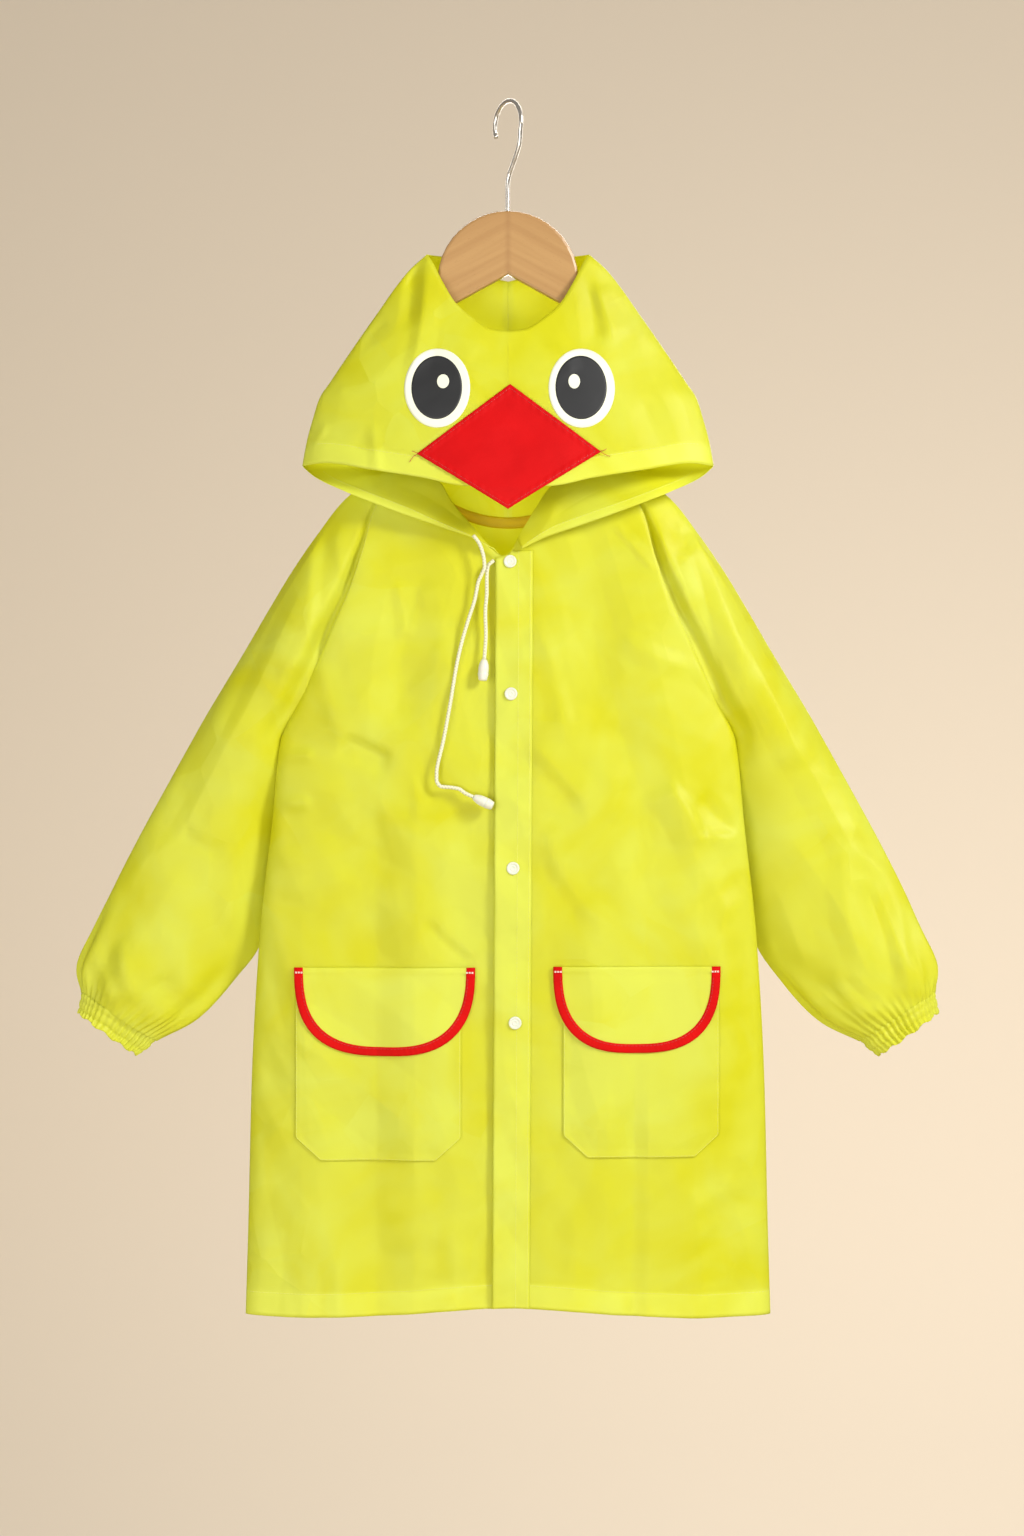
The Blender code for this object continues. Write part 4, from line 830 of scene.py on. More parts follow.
def mesh_object(name, points, faces, uv=None, weld=False, doubled=None):
    """A mesh from arrays of points, in millimetres, and of four-cornered faces, with a UV for each point."""
    mesh = bpy.data.meshes.new(name)
    points = np.reshape(points, (-1, 3)).astype(float)
    mesh.vertices.add(len(points))
    mesh.vertices.foreach_set("co", (points * MM).astype(np.float32).ravel())
    mesh.loops.add(faces.size)
    mesh.loops.foreach_set("vertex_index", faces.astype(np.int32).ravel())
    mesh.polygons.add(len(faces))
    mesh.polygons.foreach_set("loop_start", np.arange(0, faces.size, 4, dtype=np.int32))
    mesh.update(calc_edges=True)
    if uv is not None:
        per_corner = np.reshape(uv, (-1, 2)).astype(np.float32)[faces.ravel()]
        mesh.uv_layers.new(name="cloth").data.foreach_set("uv", per_corner.ravel())
    if doubled is not None:
        mesh.attributes.new("doubled", "FLOAT", "POINT").data.foreach_set("value", doubled.astype(np.float32))
    if weld:
        edited(mesh, merge_doubles)
    mesh.validate()
    mesh.shade_smooth()
    obj = bpy.data.objects.new(name, mesh)
    bpy.context.scene.collection.objects.link(obj)
    return obj


def cloth_object(name, patches, flat, weld=False, thickness=None):
    """One cloth piece of one or more (surface, columns, rows, folded) patches, with a thin wall. Where folded, a
    number or a function of u, v and the points, gives 1, the cloth is drawn as two layers."""
    points, faces, uvs, doubled = [], [], [], []
    count = 0
    for surface, columns, rows, folded in patches:
        u, v = parameters(columns, rows)
        made = surface(u, v)
        points.append(made.reshape(-1, 3))
        doubled.append(np.ravel(folded(u, v, made) if callable(folded) else folded + 0 * u))
        uvs.append(np.stack([u * flat[0], (1 - v) * flat[1]], axis=-1).reshape(-1, 2))
        faces.append(grid_faces(columns, rows, count))
        count += len(points[-1])
    points, faces, uvs, doubled = (np.concatenate(parts) for parts in (points, faces, uvs, doubled))
    obj = mesh_object(name, points, faces, uvs, weld, doubled)
    wall = obj.modifiers.new("wall", "SOLIDIFY")
    wall.thickness = settings_value("cloth_thickness") if thickness is None else thickness * MM
    wall.offset = 0
    return obj


def ring(across, over, sides):
    """Directions at even steps round a line: across * cos + over * sin."""
    turn = np.linspace(0, 2 * math.pi, sides + 1)[:, None]
    return across[..., None, :] * np.cos(turn) + over[..., None, :] * np.sin(turn)


def across_path(path):
    """For each point of a path, two directions across it that turn as little as they can."""
    along = np.gradient(path, axis=0)
    along /= np.linalg.norm(along, axis=1, keepdims=True)
    across = np.zeros_like(along)
    side = np.cross(along[0], [0.31, 0.87, 0.39])
    for i, direction in enumerate(along):
        side = side - direction * np.dot(side, direction)
        side /= np.linalg.norm(side)
        across[i] = side
    return across, np.cross(along, across)


def tube_object(name, path, diameter, sides=12):
    """A round profile carried along a path, its ends closed to a point."""
    points = path[:, None] + ring(*across_path(path), sides) * diameter / 2
    caps = [np.repeat(path[i][None, None], sides + 1, axis=1) for i in (0, -1)]
    points = np.concatenate([caps[0], points, caps[1]])
    lengths = run_lengths(path)
    down = np.concatenate([[0], lengths, lengths[-1:]]) * MM
    turn = np.linspace(0, 2 * math.pi, sides + 1)
    uv = np.stack(np.broadcast_arrays(turn[None, :] / (2 * math.pi), down[:, None]), axis=-1)
    return mesh_object(name, points, grid_faces(sides, len(points) - 1), uv, weld=True)


def turned_object(name, profile, centre, direction, sides=40):
    """A profile of radius and height turned about a direction from a centre."""
    direction = np.asarray(direction, float) / np.linalg.norm(direction)
    side = np.cross(direction, [0.0, 0.0, 1.0] if abs(direction[2]) < 0.9 else [1.0, 0.0, 0.0])
    side /= np.linalg.norm(side)
    out = profile["radius"][:, None, None] * ring(side, np.cross(direction, side), sides)
    points = centre + profile["height"][:, None, None] * direction + out
    return mesh_object(name, points, grid_faces(sides, len(points) - 1), weld=True)


def stitched(points, lift=0.3, pitch=None, facing=-1.0):
    """Stitches along a line on the front, or on the back where facing is 1: for each, its middle, its half length
    along the line and its normal."""
    pitch = settings_value("stitch_length") / MM if pitch is None else pitch
    raised = points + np.array([0.0, facing, 0.0]) * lift
    lengths = run_lengths(raised)
    count = max(int(lengths[-1] / pitch), 1)
    starts = np.arange(count) * lengths[-1] / count
    ends = starts + STITCH_SHARE * lengths[-1] / count
    a, b = (np.stack([np.interp(places, lengths, axis) for axis in raised.T], axis=1) for places in (starts, ends))
    return (a + b) / 2, (b - a) / 2, np.tile([0.0, facing, 0.0], (count, 1))


def stitch_object(name, rows, thread):
    """All the stitches of a piece as one mesh: each a bar of six sides that narrows to both ends."""
    centres, halves, normals = (np.concatenate([row[i] for row in rows]) for i in range(3))
    along = halves / np.linalg.norm(halves, axis=1, keepdims=True)
    across = np.cross(along, normals)
    across /= np.linalg.norm(across, axis=1, keepdims=True)
    stations = np.array([-1.0, -0.72, 0.72, 1.0])[:, None, None]
    widths = np.array([0.05, 1.0, 1.0, 0.05])[:, None, None] * thread / 2
    bar = ring(across, np.cross(across, along), 6)[:, None]
    points = centres[:, None, None] + halves[:, None, None] * stations + bar * widths
    faces = grid_faces(6, 3)[None] + (np.arange(len(centres)) * 28)[:, None, None]
    return mesh_object(name, points, faces.reshape(-1, 4), weld=True)


# Finishes


def add_node(tree, kind, inputs=(), stops=(), **settings):
    """Adds a shader node with its settings, and sets or links its inputs by name or number, where a node stands
    for its first output. Stops are the places and colours that a colour ramp runs between."""
    made = tree.nodes.new("ShaderNode" + kind)
    for name, value in settings.items():
        setattr(made, name, value)
    for name, value in dict(inputs).items():
        value = value.outputs[0] if isinstance(value, bpy.types.Node) else value
        if isinstance(value, bpy.types.NodeSocket):
            tree.links.new(value, made.inputs[name])
        else:
            made.inputs[name].default_value = value
    for element, (place, colour) in zip(made.color_ramp.elements if stops else (), stops):
        element.position = place
        element.color = (*colour, 1)
    return made


def weave(node, scale):
    """The cloth's threads over its flat pattern: waves across times waves along."""
    uv = node("TexCoord").outputs["UV"]
    ribs = [node("TexWave", {"Vector": uv, "Scale": scale}, bands_direction=way).outputs["Fac"] for way in "XY"]
    return node("Math", dict(enumerate(ribs)), operation="MULTIPLY")


def dimmed(colour, share):
    """A colour with each of its parts times a share."""
    return [part * share for part in colour]


# How strongly the small facets of crumpled film show in the colour, as painted sheen and painted shade.
FACET_PAINTED_LIGHT = 0.22


def coated_taffeta(node, light, dark, see_through):
    """Nylon taffeta with a thin clear coating: a satin face, paler where it is folded double and deeper where
    light shines through one layer, partly as painted light in its colour, with soft handling marks a few centimetres
    wide and small crumpled facets; its colour runs from a deep painted shade to a pale painted sheen. Its threads,
    about 0.12 mm, are drawn 0.8 mm apart so that they still show."""
    place = node("TexCoord").outputs["Object"]
    doubled = node("Attribute", attribute_name="doubled").outputs["Fac"]
    marks = node("TexNoise", {"Vector": place, "Scale": 11.0, "Detail": 3.0, "Roughness": 0.5, "Distortion": 1.0})
    stray = node("TexNoise", {"Vector": place, "Scale": 9.0, "Detail": 1.0}).outputs["Color"]
    stray = node("VectorMath", {0: stray, "Scale": 0.05}, operation="SCALE")
    bent = node("VectorMath", {0: place, 1: stray}, operation="ADD")
    facets = node("TexVoronoi", {"Vector": bent, "Scale": 21.0, "Randomness": 1.0})
    where = node("TexNoise", {"Vector": place, "Scale": 6.0, "Detail": 1.0})
    patchy = node("MapRange", {"Value": where, "From Min": 0.42, "From Max": 0.66})
    # The facets' random values, in patches, paint sheen and shade into the colour: painted light on each small facet.
    shade = node("SeparateXYZ", {"Vector": facets.outputs["Color"]})
    shade = node("Math", {0: shade, 1: patchy}, operation="MULTIPLY")
    # Where the cloth is folded double its colour is painted paler: painted light.
    marks_and_painted_light = node("MapRange", {"Value": doubled, "To Min": 0.0, "To Max": 0.16})
    marks_and_painted_light = node("Math", {0: shade, 1: FACET_PAINTED_LIGHT, 2: marks_and_painted_light}, operation="MULTIPLY_ADD")
    marks_and_painted_light = node("Math", {0: marks, 1: marks_and_painted_light}, operation="ADD")
    # The dark stop is painted shade and the light stop is painted sheen.
    colour = node("ValToRGB", {"Fac": marks_and_painted_light}, stops=[(0.34, dark), (0.76, light)])
    folds = {"Vector": place, "Scale": 17.0, "Detail": 2.0, "Roughness": 0.5, "Lacunarity": 2.2, "Distortion": 0.9}
    crumple = node("TexNoise", folds, noise_type="RIDGED_MULTIFRACTAL")
    facet = node("Math", {0: facets, 1: patchy}, operation="MULTIPLY")
    faceted = node("Bump", {"Height": facet, "Strength": 0.5, "Distance": 0.0055})
    creased = node("Bump", {"Height": crumple, "Strength": 0.5, "Distance": 0.0012, "Normal": faceted})
    normal = node("Bump", {"Height": weave(node, 196.0), "Strength": 0.2, "Distance": 0.00005, "Normal": creased})
    face = node("BsdfPrincipled", {"Base Color": colour, "Roughness": 0.5, "IOR": 1.46, "Normal": normal})
    glow = node("ValToRGB", {"Fac": marks_and_painted_light}, stops=[(0.3, dark), (0.8, dark)])
    through = node("BsdfTranslucent", {"Color": glow, "Normal": normal})
    share = node("MapRange", {"Value": doubled, "To Min": see_through, "To Max": see_through * 0.8})
    return node("MixShader", {"Fac": share, 1: face, 2: through})


def woven_tape(node, light, dark, pitch, roughness=0.7):
    """Woven polyester: fine ribs across the tape, with a matt, slightly hairy face."""
    marks = node("TexNoise", {"Vector": node("TexCoord").outputs["Object"], "Scale": 40.0, "Detail": 3.0})
    colour = node("ValToRGB", {"Fac": marks}, stops=[(0.3, dark), (0.75, light)])
    normal = node("Bump", {"Height": weave(node, 0.157 / pitch), "Strength": 0.4, "Distance": 0.00012})
    look = {"Base Color": colour, "Roughness": roughness, "Specular IOR Level": 0.12, "Normal": normal}
    return node("BsdfPrincipled", look)


def screen_print(node, colour):
    """Plastisol ink printed through a screen: flat, rubbery, and faintly dimpled by the cloth under it."""
    place = node("TexCoord").outputs["Object"]
    dimples = node("TexNoise", {"Vector": place, "Scale": 300.0, "Detail": 2.0})
    marks = node("TexNoise", {"Vector": place, "Scale": 30.0, "Detail": 3.0})
    shade = node("ValToRGB", {"Fac": marks}, stops=[(0.3, dimmed(colour, 0.88)), (0.7, colour)])
    normal = node("Bump", {"Height": dimples, "Strength": 0.2, "Distance": 0.0001})
    return node("BsdfPrincipled", {"Base Color": shade, "Roughness": 0.55, "Normal": normal})


def moulded_plastic(node, colour, roughness):
    """Moulded acetal: slightly waxy, smooth, with a faint unevenness."""
    marks = node("TexNoise", {"Vector": node("TexCoord").outputs["Object"], "Scale": 220.0, "Detail": 2.0})
    shade = node("ValToRGB", {"Fac": marks}, stops=[(0.3, dimmed(colour, 0.93)), (0.7, colour)])
    normal = node("Bump", {"Height": marks, "Strength": 0.15, "Distance": 0.0001})
    wax = {"IOR": 1.48, "Subsurface Weight": 0.15, "Subsurface Scale": 0.001}
    return node("BsdfPrincipled", {"Base Color": shade, "Roughness": roughness, "Normal": normal, **wax})


def braided_polyester(node, colour):
    """A braided polyester cord: strands that cross at a slant, about 1.4 mm apart along it."""
    uv = node("TexCoord").outputs["UV"]
    strands = []
    for slant in (1.0, -1.0):
        turned = node("Mapping", {"Vector": uv, "Scale": (3.0 * slant, 700.0, 1.0)})
        strand = node("TexWave", {"Vector": turned, "Scale": 0.32}, bands_direction="DIAGONAL")
        strands.append(strand.outputs["Fac"])
    braid = node("Math", dict(enumerate(strands)), operation="MAXIMUM")
    # Where the braid is low, in the grooves between the strands, the colour is dimmed: painted shade.
    shade = node("ValToRGB", {"Fac": braid}, stops=[(0.1, dimmed(colour, 0.7)), (0.8, colour)])
    normal = node("Bump", {"Height": braid, "Strength": 0.8, "Distance": 0.0004})
    return node("BsdfPrincipled", {"Base Color": shade, "Roughness": 0.8, "Sheen Weight": 0.3, "Normal": normal})


def lacquered_beech(node, light, dark, flecks):
    """Beech under clear satin lacquer: two boards that meet in a glued joint under the hook, each with straight
    pale grain along its own shoulder and the short darker flecks of its rays, about 3 mm long."""
    sides = node("SeparateXYZ", {"Vector": node("TexCoord").outputs["Object"]}).outputs
    across = node("Math", {0: sides["X"]}, operation="ABSOLUTE")
    place = node("CombineXYZ", {"X": across, "Y": sides["Y"], "Z": sides["Z"]})
    board = {"Vector": place, "Rotation": (0, math.radians(28), 0)}
    along_grain = node("Mapping", {**board, "Scale": (0.25, 0.03, 0.011)}, vector_type="TEXTURE")
    grain = node("TexNoise", {"Vector": along_grain, "Scale": 1.4, "Detail": 3.0, "Distortion": 0.3})
    along_rays = node("Mapping", {**board, "Scale": (0.003, 0.0025, 0.0007)}, vector_type="TEXTURE")
    rays = node("TexNoise", {"Vector": along_rays, "Scale": 1.0, "Detail": 1.0})
    grained = node("ValToRGB", {"Fac": grain}, stops=[(0.32, dark), (0.62, light)])
    marks = node("ValToRGB", {"Fac": rays}, stops=[(0.66, (0, 0, 0)), (0.8, (0.45, 0.45, 0.45))])
    joint = node("ValToRGB", {"Fac": across}, stops=[(0.00025, (0.4, 0.4, 0.4)), (0.0006, (0, 0, 0))])
    darker = node("Math", {0: marks, 1: joint}, operation="MAXIMUM")
    shade = node("Mix", {"Factor": darker, "A": grained, "B": (*flecks, 1)}, data_type="RGBA").outputs["Result"]
    normal = node("Bump", {"Height": grain, "Strength": 0.15, "Distance": 0.0002})
    lacquer = {"IOR": 1.5, "Coat Weight": 0.25, "Coat Roughness": 0.25}
    return node("BsdfPrincipled", {"Base Color": shade, "Roughness": 0.42, "Normal": normal, **lacquer})


def nickel_wire(node, colour):
    """Steel wire plated with nickel: bright, with fine scratches along it."""
    marks = node("TexNoise", {"Vector": node("TexCoord").outputs["Object"], "Scale": 500.0, "Detail": 2.0})
    rough = node("MapRange", {"Value": marks, "To Min": 0.16, "To Max": 0.32})
    return node("BsdfPrincipled", {"Base Color": (*colour, 1), "Metallic": 1.0, "Roughness": rough})


def spun_thread(node, colour):
    """Spun polyester sewing thread, matt, with a twist too fine to show."""
    return node("BsdfPrincipled", {"Base Color": (*colour, 1), "Roughness": 0.75, "Sheen Weight": 0.3})


def matt_paint(node, colour):
    """Studio paint, matt and plain."""
    return node("BsdfPrincipled", {"Base Color": (*colour, 1), "Roughness": 0.95})


def finish(name):
    """The object's finishes by name, each made once."""
    if name in bpy.data.materials:
        return bpy.data.materials[name]
    coat, stage = bpy.context.scene.raincoat, bpy.context.scene.raincoat_stage
    red, green, blue = coat.coat_colour
    makers = {
        # The coat's pale stop, bluer, is painted sheen and its deep stop, far less blue, is painted shade; the neck
        # tape's two colours are the same painted sheen and shade.
        "coated nylon taffeta": (
            coated_taffeta, [red, green, blue * 1.4], [red * 0.96, green * 0.89, blue * 0.15], 0.48
        ),
        "nylon neck tape": (coated_taffeta, srgb("F6E424"), srgb("F2D816"), 0.5),
        "red nylon cloth": (woven_tape, srgb("C8090C"), srgb("BE0508"), 0.0007, 0.6),
        "red binding tape": (woven_tape, list(coat.trim_colour), srgb("BE0302"), 0.0007),
        "white screen print": (screen_print, srgb("F1F1D8")),
        "black screen print": (screen_print, srgb("222223")),
        "acetal snap": (moulded_plastic, srgb("DCDDC9"), 0.3),
        "cord end plastic": (moulded_plastic, srgb("DEDCCB"), 0.38),
        "braided polyester": (braided_polyester, srgb("E4E0BE")),
        "lacquered beech": (lacquered_beech, srgb("B38A55"), srgb("A87E4B"), srgb("94693C")),
        "nickel plated wire": (nickel_wire, srgb("CFC8BE")),
        "yellow thread": (spun_thread, srgb("E2E262")),
        "red thread": (spun_thread, srgb("B80E10")),
        "white thread": (spun_thread, srgb("F4EFE0")),
        "studio wall": (matt_paint, list(stage.wall_colour)),
    }
    maker, *values = makers[name]
    made = bpy.data.materials.new(name)
    made.use_nodes = True
    made.node_tree.nodes.clear()
    node = partial(add_node, made.node_tree)
    node("OutputMaterial", {"Surface": maker(node, *values)})
    return made


def add_piece(obj, look, nodes=()):
    """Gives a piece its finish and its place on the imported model."""
    obj.data.materials.append(finish(look))
    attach(obj, "root")
    if nodes:
        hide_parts(*nodes)
    return obj


def coat_piece(name, patches, flat, nodes, weld=False):
    """A piece of the coat's own cloth."""
    made = cloth_object("coat_" + name, patches, flat, weld)
    return add_piece(made, "coated nylon taffeta", nodes)


# Settings


def colour_setting(label, description, code):
    """A colour that a user can change, from its hex code."""
    return FloatVectorProperty(name=label, description=description, subtype="COLOR", size=3, default=srgb(code))


def length_setting(label, description, default):
    """A length that a user can change, in metres."""
    return FloatProperty(name=label, description=description, default=default, unit="LENGTH")


class RaincoatSettings(bpy.types.PropertyGroup):
    """What a maker would change on the coat."""

    coat_colour: colour_setting("Coat colour", "The cloth's colour, linear", "EAF04B")
    trim_colour: colour_setting("Binding colour", "The flap binding's colour", "CE0503")
    cloth_thickness: length_setting("Cloth thickness", "The thickness of one layer", 0.0005)
    crease_strength: FloatProperty(
        name="Creases", description="How far the creases rise, as a share of their own size", default=1.0
    )
    stitch_length: length_setting("Stitch length", "From one stitch to the next", 0.0032)


class StageSettings(bpy.types.PropertyGroup):
    """The camera, and the room's wall and floor."""

    camera_distance: length_setting("Camera distance", "From the hanger to the camera", 3.4)
    camera_height: length_setting("Camera height", "Above the point that the hook rests on, negative below it", -0.5887)
    camera_across: length_setting("Camera across", "Towards the wearer's left", 0.0035)
    view_height: length_setting("View height", "How much the picture shows from top to bottom", 1.3517)
    wall_colour: colour_setting("Wall colour", "The plain wall and floor", "E3D5C0")
    floor_height: length_setting("Floor height", "Below the point that the hook rests on", -3.4)


# Operators


class RAINCOAT_OT_camera(bpy.types.Operator):
    """Adds the camera, level with the middle of the coat"""

    bl_idname = "raincoat.camera"
    bl_label = "Camera"

    def execute(self, context):
        stage = context.scene.raincoat_stage
        camera = bpy.data.cameras.new("camera")
        body_plane = 0.02
        camera.sensor_width = 36.0
        camera.lens = 18.0 / (stage.view_height / 2 / (stage.camera_distance - body_plane))
        camera.clip_end = 60.0
        holder = bpy.data.objects.new("camera", camera)
        holder.location = (stage.camera_across, -stage.camera_distance, stage.camera_height)
        holder.rotation_euler = (math.pi / 2, 0, 0)
        context.scene.collection.objects.link(holder)
        context.scene.camera = holder
        return {"FINISHED"}


class RAINCOAT_OT_drawstring(bpy.types.Operator):
    """Adds the drawstring's two free ends with their moulded tips"""

    bl_idname = "raincoat.drawstring"
    bl_label = "Drawstring"

    def execute(self, context):
        for name, rows in (("long", CORD_LONG), ("short", CORD_SHORT)):
            path = cord_route(rows)
            fine = route_through(path, 1.1)
            cord = tube_object("drawstring_" + name, fine, CORD_DIAMETER, 14)
            add_piece(cord, "braided polyester", ["cord_" + name])
            direction = path[-1] - path[-2]
            direction /= np.linalg.norm(direction)
            tip = turned_object("tip_" + name, CORD_END_PROFILE, path[-1] + direction * 0.25, direction)
            add_piece(tip, "cord end plastic", ["cord_end_" + name])
        return {"FINISHED"}


class RAINCOAT_OT_fronts(bpy.types.Operator):
    """Adds the two fronts and the placket"""

    bl_idname = "raincoat.fronts"
    bl_label = "Fronts"

    def execute(self, context):
        for side, width in ((RIGHT, 0.27), (LEFT, 0.252)):
            name = "front_" + SIDE_NAMES[side]
            patch = (partial(front_surface, side), 100, 230, hem_fold)
            panel = coat_piece(name, [patch], (width, 0.75), [name])
        placket = coat_piece("placket", [(placket_surface, 18, 320, 1)], (0.033, 0.665), ["placket"])
        return {"FINISHED"}


class RAINCOAT_OT_back(bpy.types.Operator):
    """Adds the back and the tape round its neck"""

    bl_idname = "raincoat.back"
    bl_label = "Back"

    def execute(self, context):
        panel = coat_piece("back", [(back_surface, 130, 200, hem_fold)], (0.50, 0.75), ["back"])
        tape = cloth_object("coat_neck_tape", [(neck_band_surface, 60, 6, 0)], (0.11, 0.01))
        add_piece(tape, "nylon neck tape", ["neck_band"])
        return {"FINISHED"}


class RAINCOAT_OT_sleeves(bpy.types.Operator):
    """Adds the raglan sleeves and their gathered cuffs"""

    bl_idname = "raincoat.sleeves"
    bl_label = "Sleeves"

    def execute(self, context):
        for side, name in SIDE_NAMES.items():
            nodes = ["sleeve_upper_" + name, "sleeve_lower_" + name]
            patch = (partial(sleeve_surface, side), 240, 110, 0)
            sleeve = coat_piece("sleeve_" + name, [patch], (0.34, 0.58), nodes, weld=True)
            patch = (partial(cuff_surface, side), 390, 16, 0.3)
            cuff = coat_piece("cuff_" + name, [patch], (0.25, 0.0185), ["cuff_" + name], weld=True)
        return {"FINISHED"}


class RAINCOAT_OT_hood(bpy.types.Operator):
    """Adds the two halves of the hood"""

    bl_idname = "raincoat.hood"
    bl_label = "Hood"

    def execute(self, context):
        sides = 60
        around = round(sides / SIDE_SHARE)
        for side, name in SIDE_NAMES.items():
            name = "hood_" + name
            patches = [
                (partial(hood_lower_surface, side), around, 60, edge_fold),
                (partial(hood_front_surface, side), 84, sides, rim_fold),
            ]
            half = coat_piece(name, patches, (0.34, 0.26), [name], weld=True)
        return {"FINISHED"}


class RAINCOAT_OT_face(bpy.types.Operator):
    """Adds the beak and the printed eyes"""

    bl_idname = "raincoat.face"
    bl_label = "Face"

    def execute(self, context):
        beak = cloth_object("hood_beak", [(beak_surface, 70, 70, 0)], (0.10, 0.10))
        add_piece(beak, "red nylon cloth", ["beak"])
        for number, (corner, *ends) in enumerate(zip(*TAILS.values()), 1):
            start = BEAK_RIGHT if corner == RIGHT else BEAK_LEFT
            x = start[0] + np.array([-1.0 * corner, ends[0], ends[2]])
            z = start[2] + np.array([0.4, ends[1], ends[3]])
            path = vec(x, hood_front_y(x, z) - np.array([2.6, 2.6, 1.6]), z)
            tail = tube_object(f"beak_tail_{number}", route_through(path, 0.6), 0.5, 6)
            add_piece(tail, "red thread")
        white, black = "white screen print", "black screen print"
        looks = {1: ("ring", white), 2: ("pupil", black), 3: ("glint", white)}
        for side, layer, *shape in zip(*EYES.values()):
            part, look = looks[int(layer)]
            patch = (partial(eye_surface, layer, *shape), 72, 14, 0)
            oval = cloth_object(f"eye_{part}_{SIDE_NAMES[int(side)]}", [patch], (0.05, 0.03), weld=True, thickness=0.1)
            add_piece(oval, look)
        return {"FINISHED"}


class RAINCOAT_OT_pockets(bpy.types.Operator):
    """Adds the pockets, their flaps and the flaps' binding"""

    bl_idname = "raincoat.pockets"
    bl_label = "Pockets"

    def execute(self, context):
        for side, name in SIDE_NAMES.items():
            patch = (partial(pocket_surface, side), 80, 84, 0.5)
            pocket = coat_piece("pocket_" + name, [patch], (0.15, 0.155), ["pocket_" + name])
            patch = (partial(flap_surface, side), 96, 40, 1)
            flap = coat_piece("flap_" + name, [patch], (0.158, 0.078), ["flap_" + name])
            u, v = parameters(260, 16)
            uv = np.stack([u * 0.27, v * 0.02], axis=-1)
            points = binding_surface(side, u, v)
            binding = mesh_object("flap_binding_" + name, points, grid_faces(260, 16), uv, weld=True)
            edited(binding.data, close_ends)
            add_piece(binding, "red binding tape", ["binding_" + name])
        return {"FINISHED"}


class RAINCOAT_OT_snaps(bpy.types.Operator):
    """Adds the four snap caps"""

    bl_idname = "raincoat.snaps"
    bl_label = "Snaps"

    def execute(self, context):
        radius = SNAP_PROFILE["radius"].max()
        for number, x, z in zip(*SNAPS.values()):
            slope_x, slope_z = (
                (plain_front_y(x + dx, z + dz) - plain_front_y(x - dx, z - dz)) / (2 * radius)
                for dx, dz in ((radius, 0), (0, radius))
            )
            name = f"snap_{int(number)}"
            centre = np.array([x, front_y(x, z) - CAP_LIFT, z])
            cap = turned_object("cap_" + name, SNAP_PROFILE, centre, (slope_x, -1, slope_z))
            add_piece(cap, "acetal snap", [name])
        return {"FINISHED"}


class RAINCOAT_OT_hanger(bpy.types.Operator):
    """Adds the hanger's wire hook and gives its wood a finish"""

    bl_idname = "raincoat.hanger"
    bl_label = "Hanger"

    def execute(self, context):
        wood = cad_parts["hanger_body"]
        wood.data.materials.clear()
        wood.data.materials.append(finish("lacquered beech"))
        wire = tube_object("hook_wire", route_through(hook_route(), 1.5), WIRE_DIAMETER, 20)
        add_piece(wire, "nickel plated wire", ["hanger_hook"])
        return {"FINISHED"}


# How far stitches lie from an edge, how far out the hems' run, and how much of its pitch each one fills.
SEAM_MARGIN, HEM_REACH, STITCH_SHARE = 1.5, 230.5, 0.8
# How far in from the beak's sides its seam runs, as a share of a side.
BEAK_MARGIN = 0.03
# The raglan seam on a front: its place across, and how far down it runs. And the rim's seam, from and to.
RAGLAN_SEAM, RAGLAN_REACH = 0.985, 0.345
RIM_SEAM = (3, 168)


def sides_of(corners):
    """The points along each side of a run of corners."""
    for start, end in zip(corners[:-1], corners[1:]):
        yield [np.linspace(a, b, 60) for a, b in zip(start, end)]


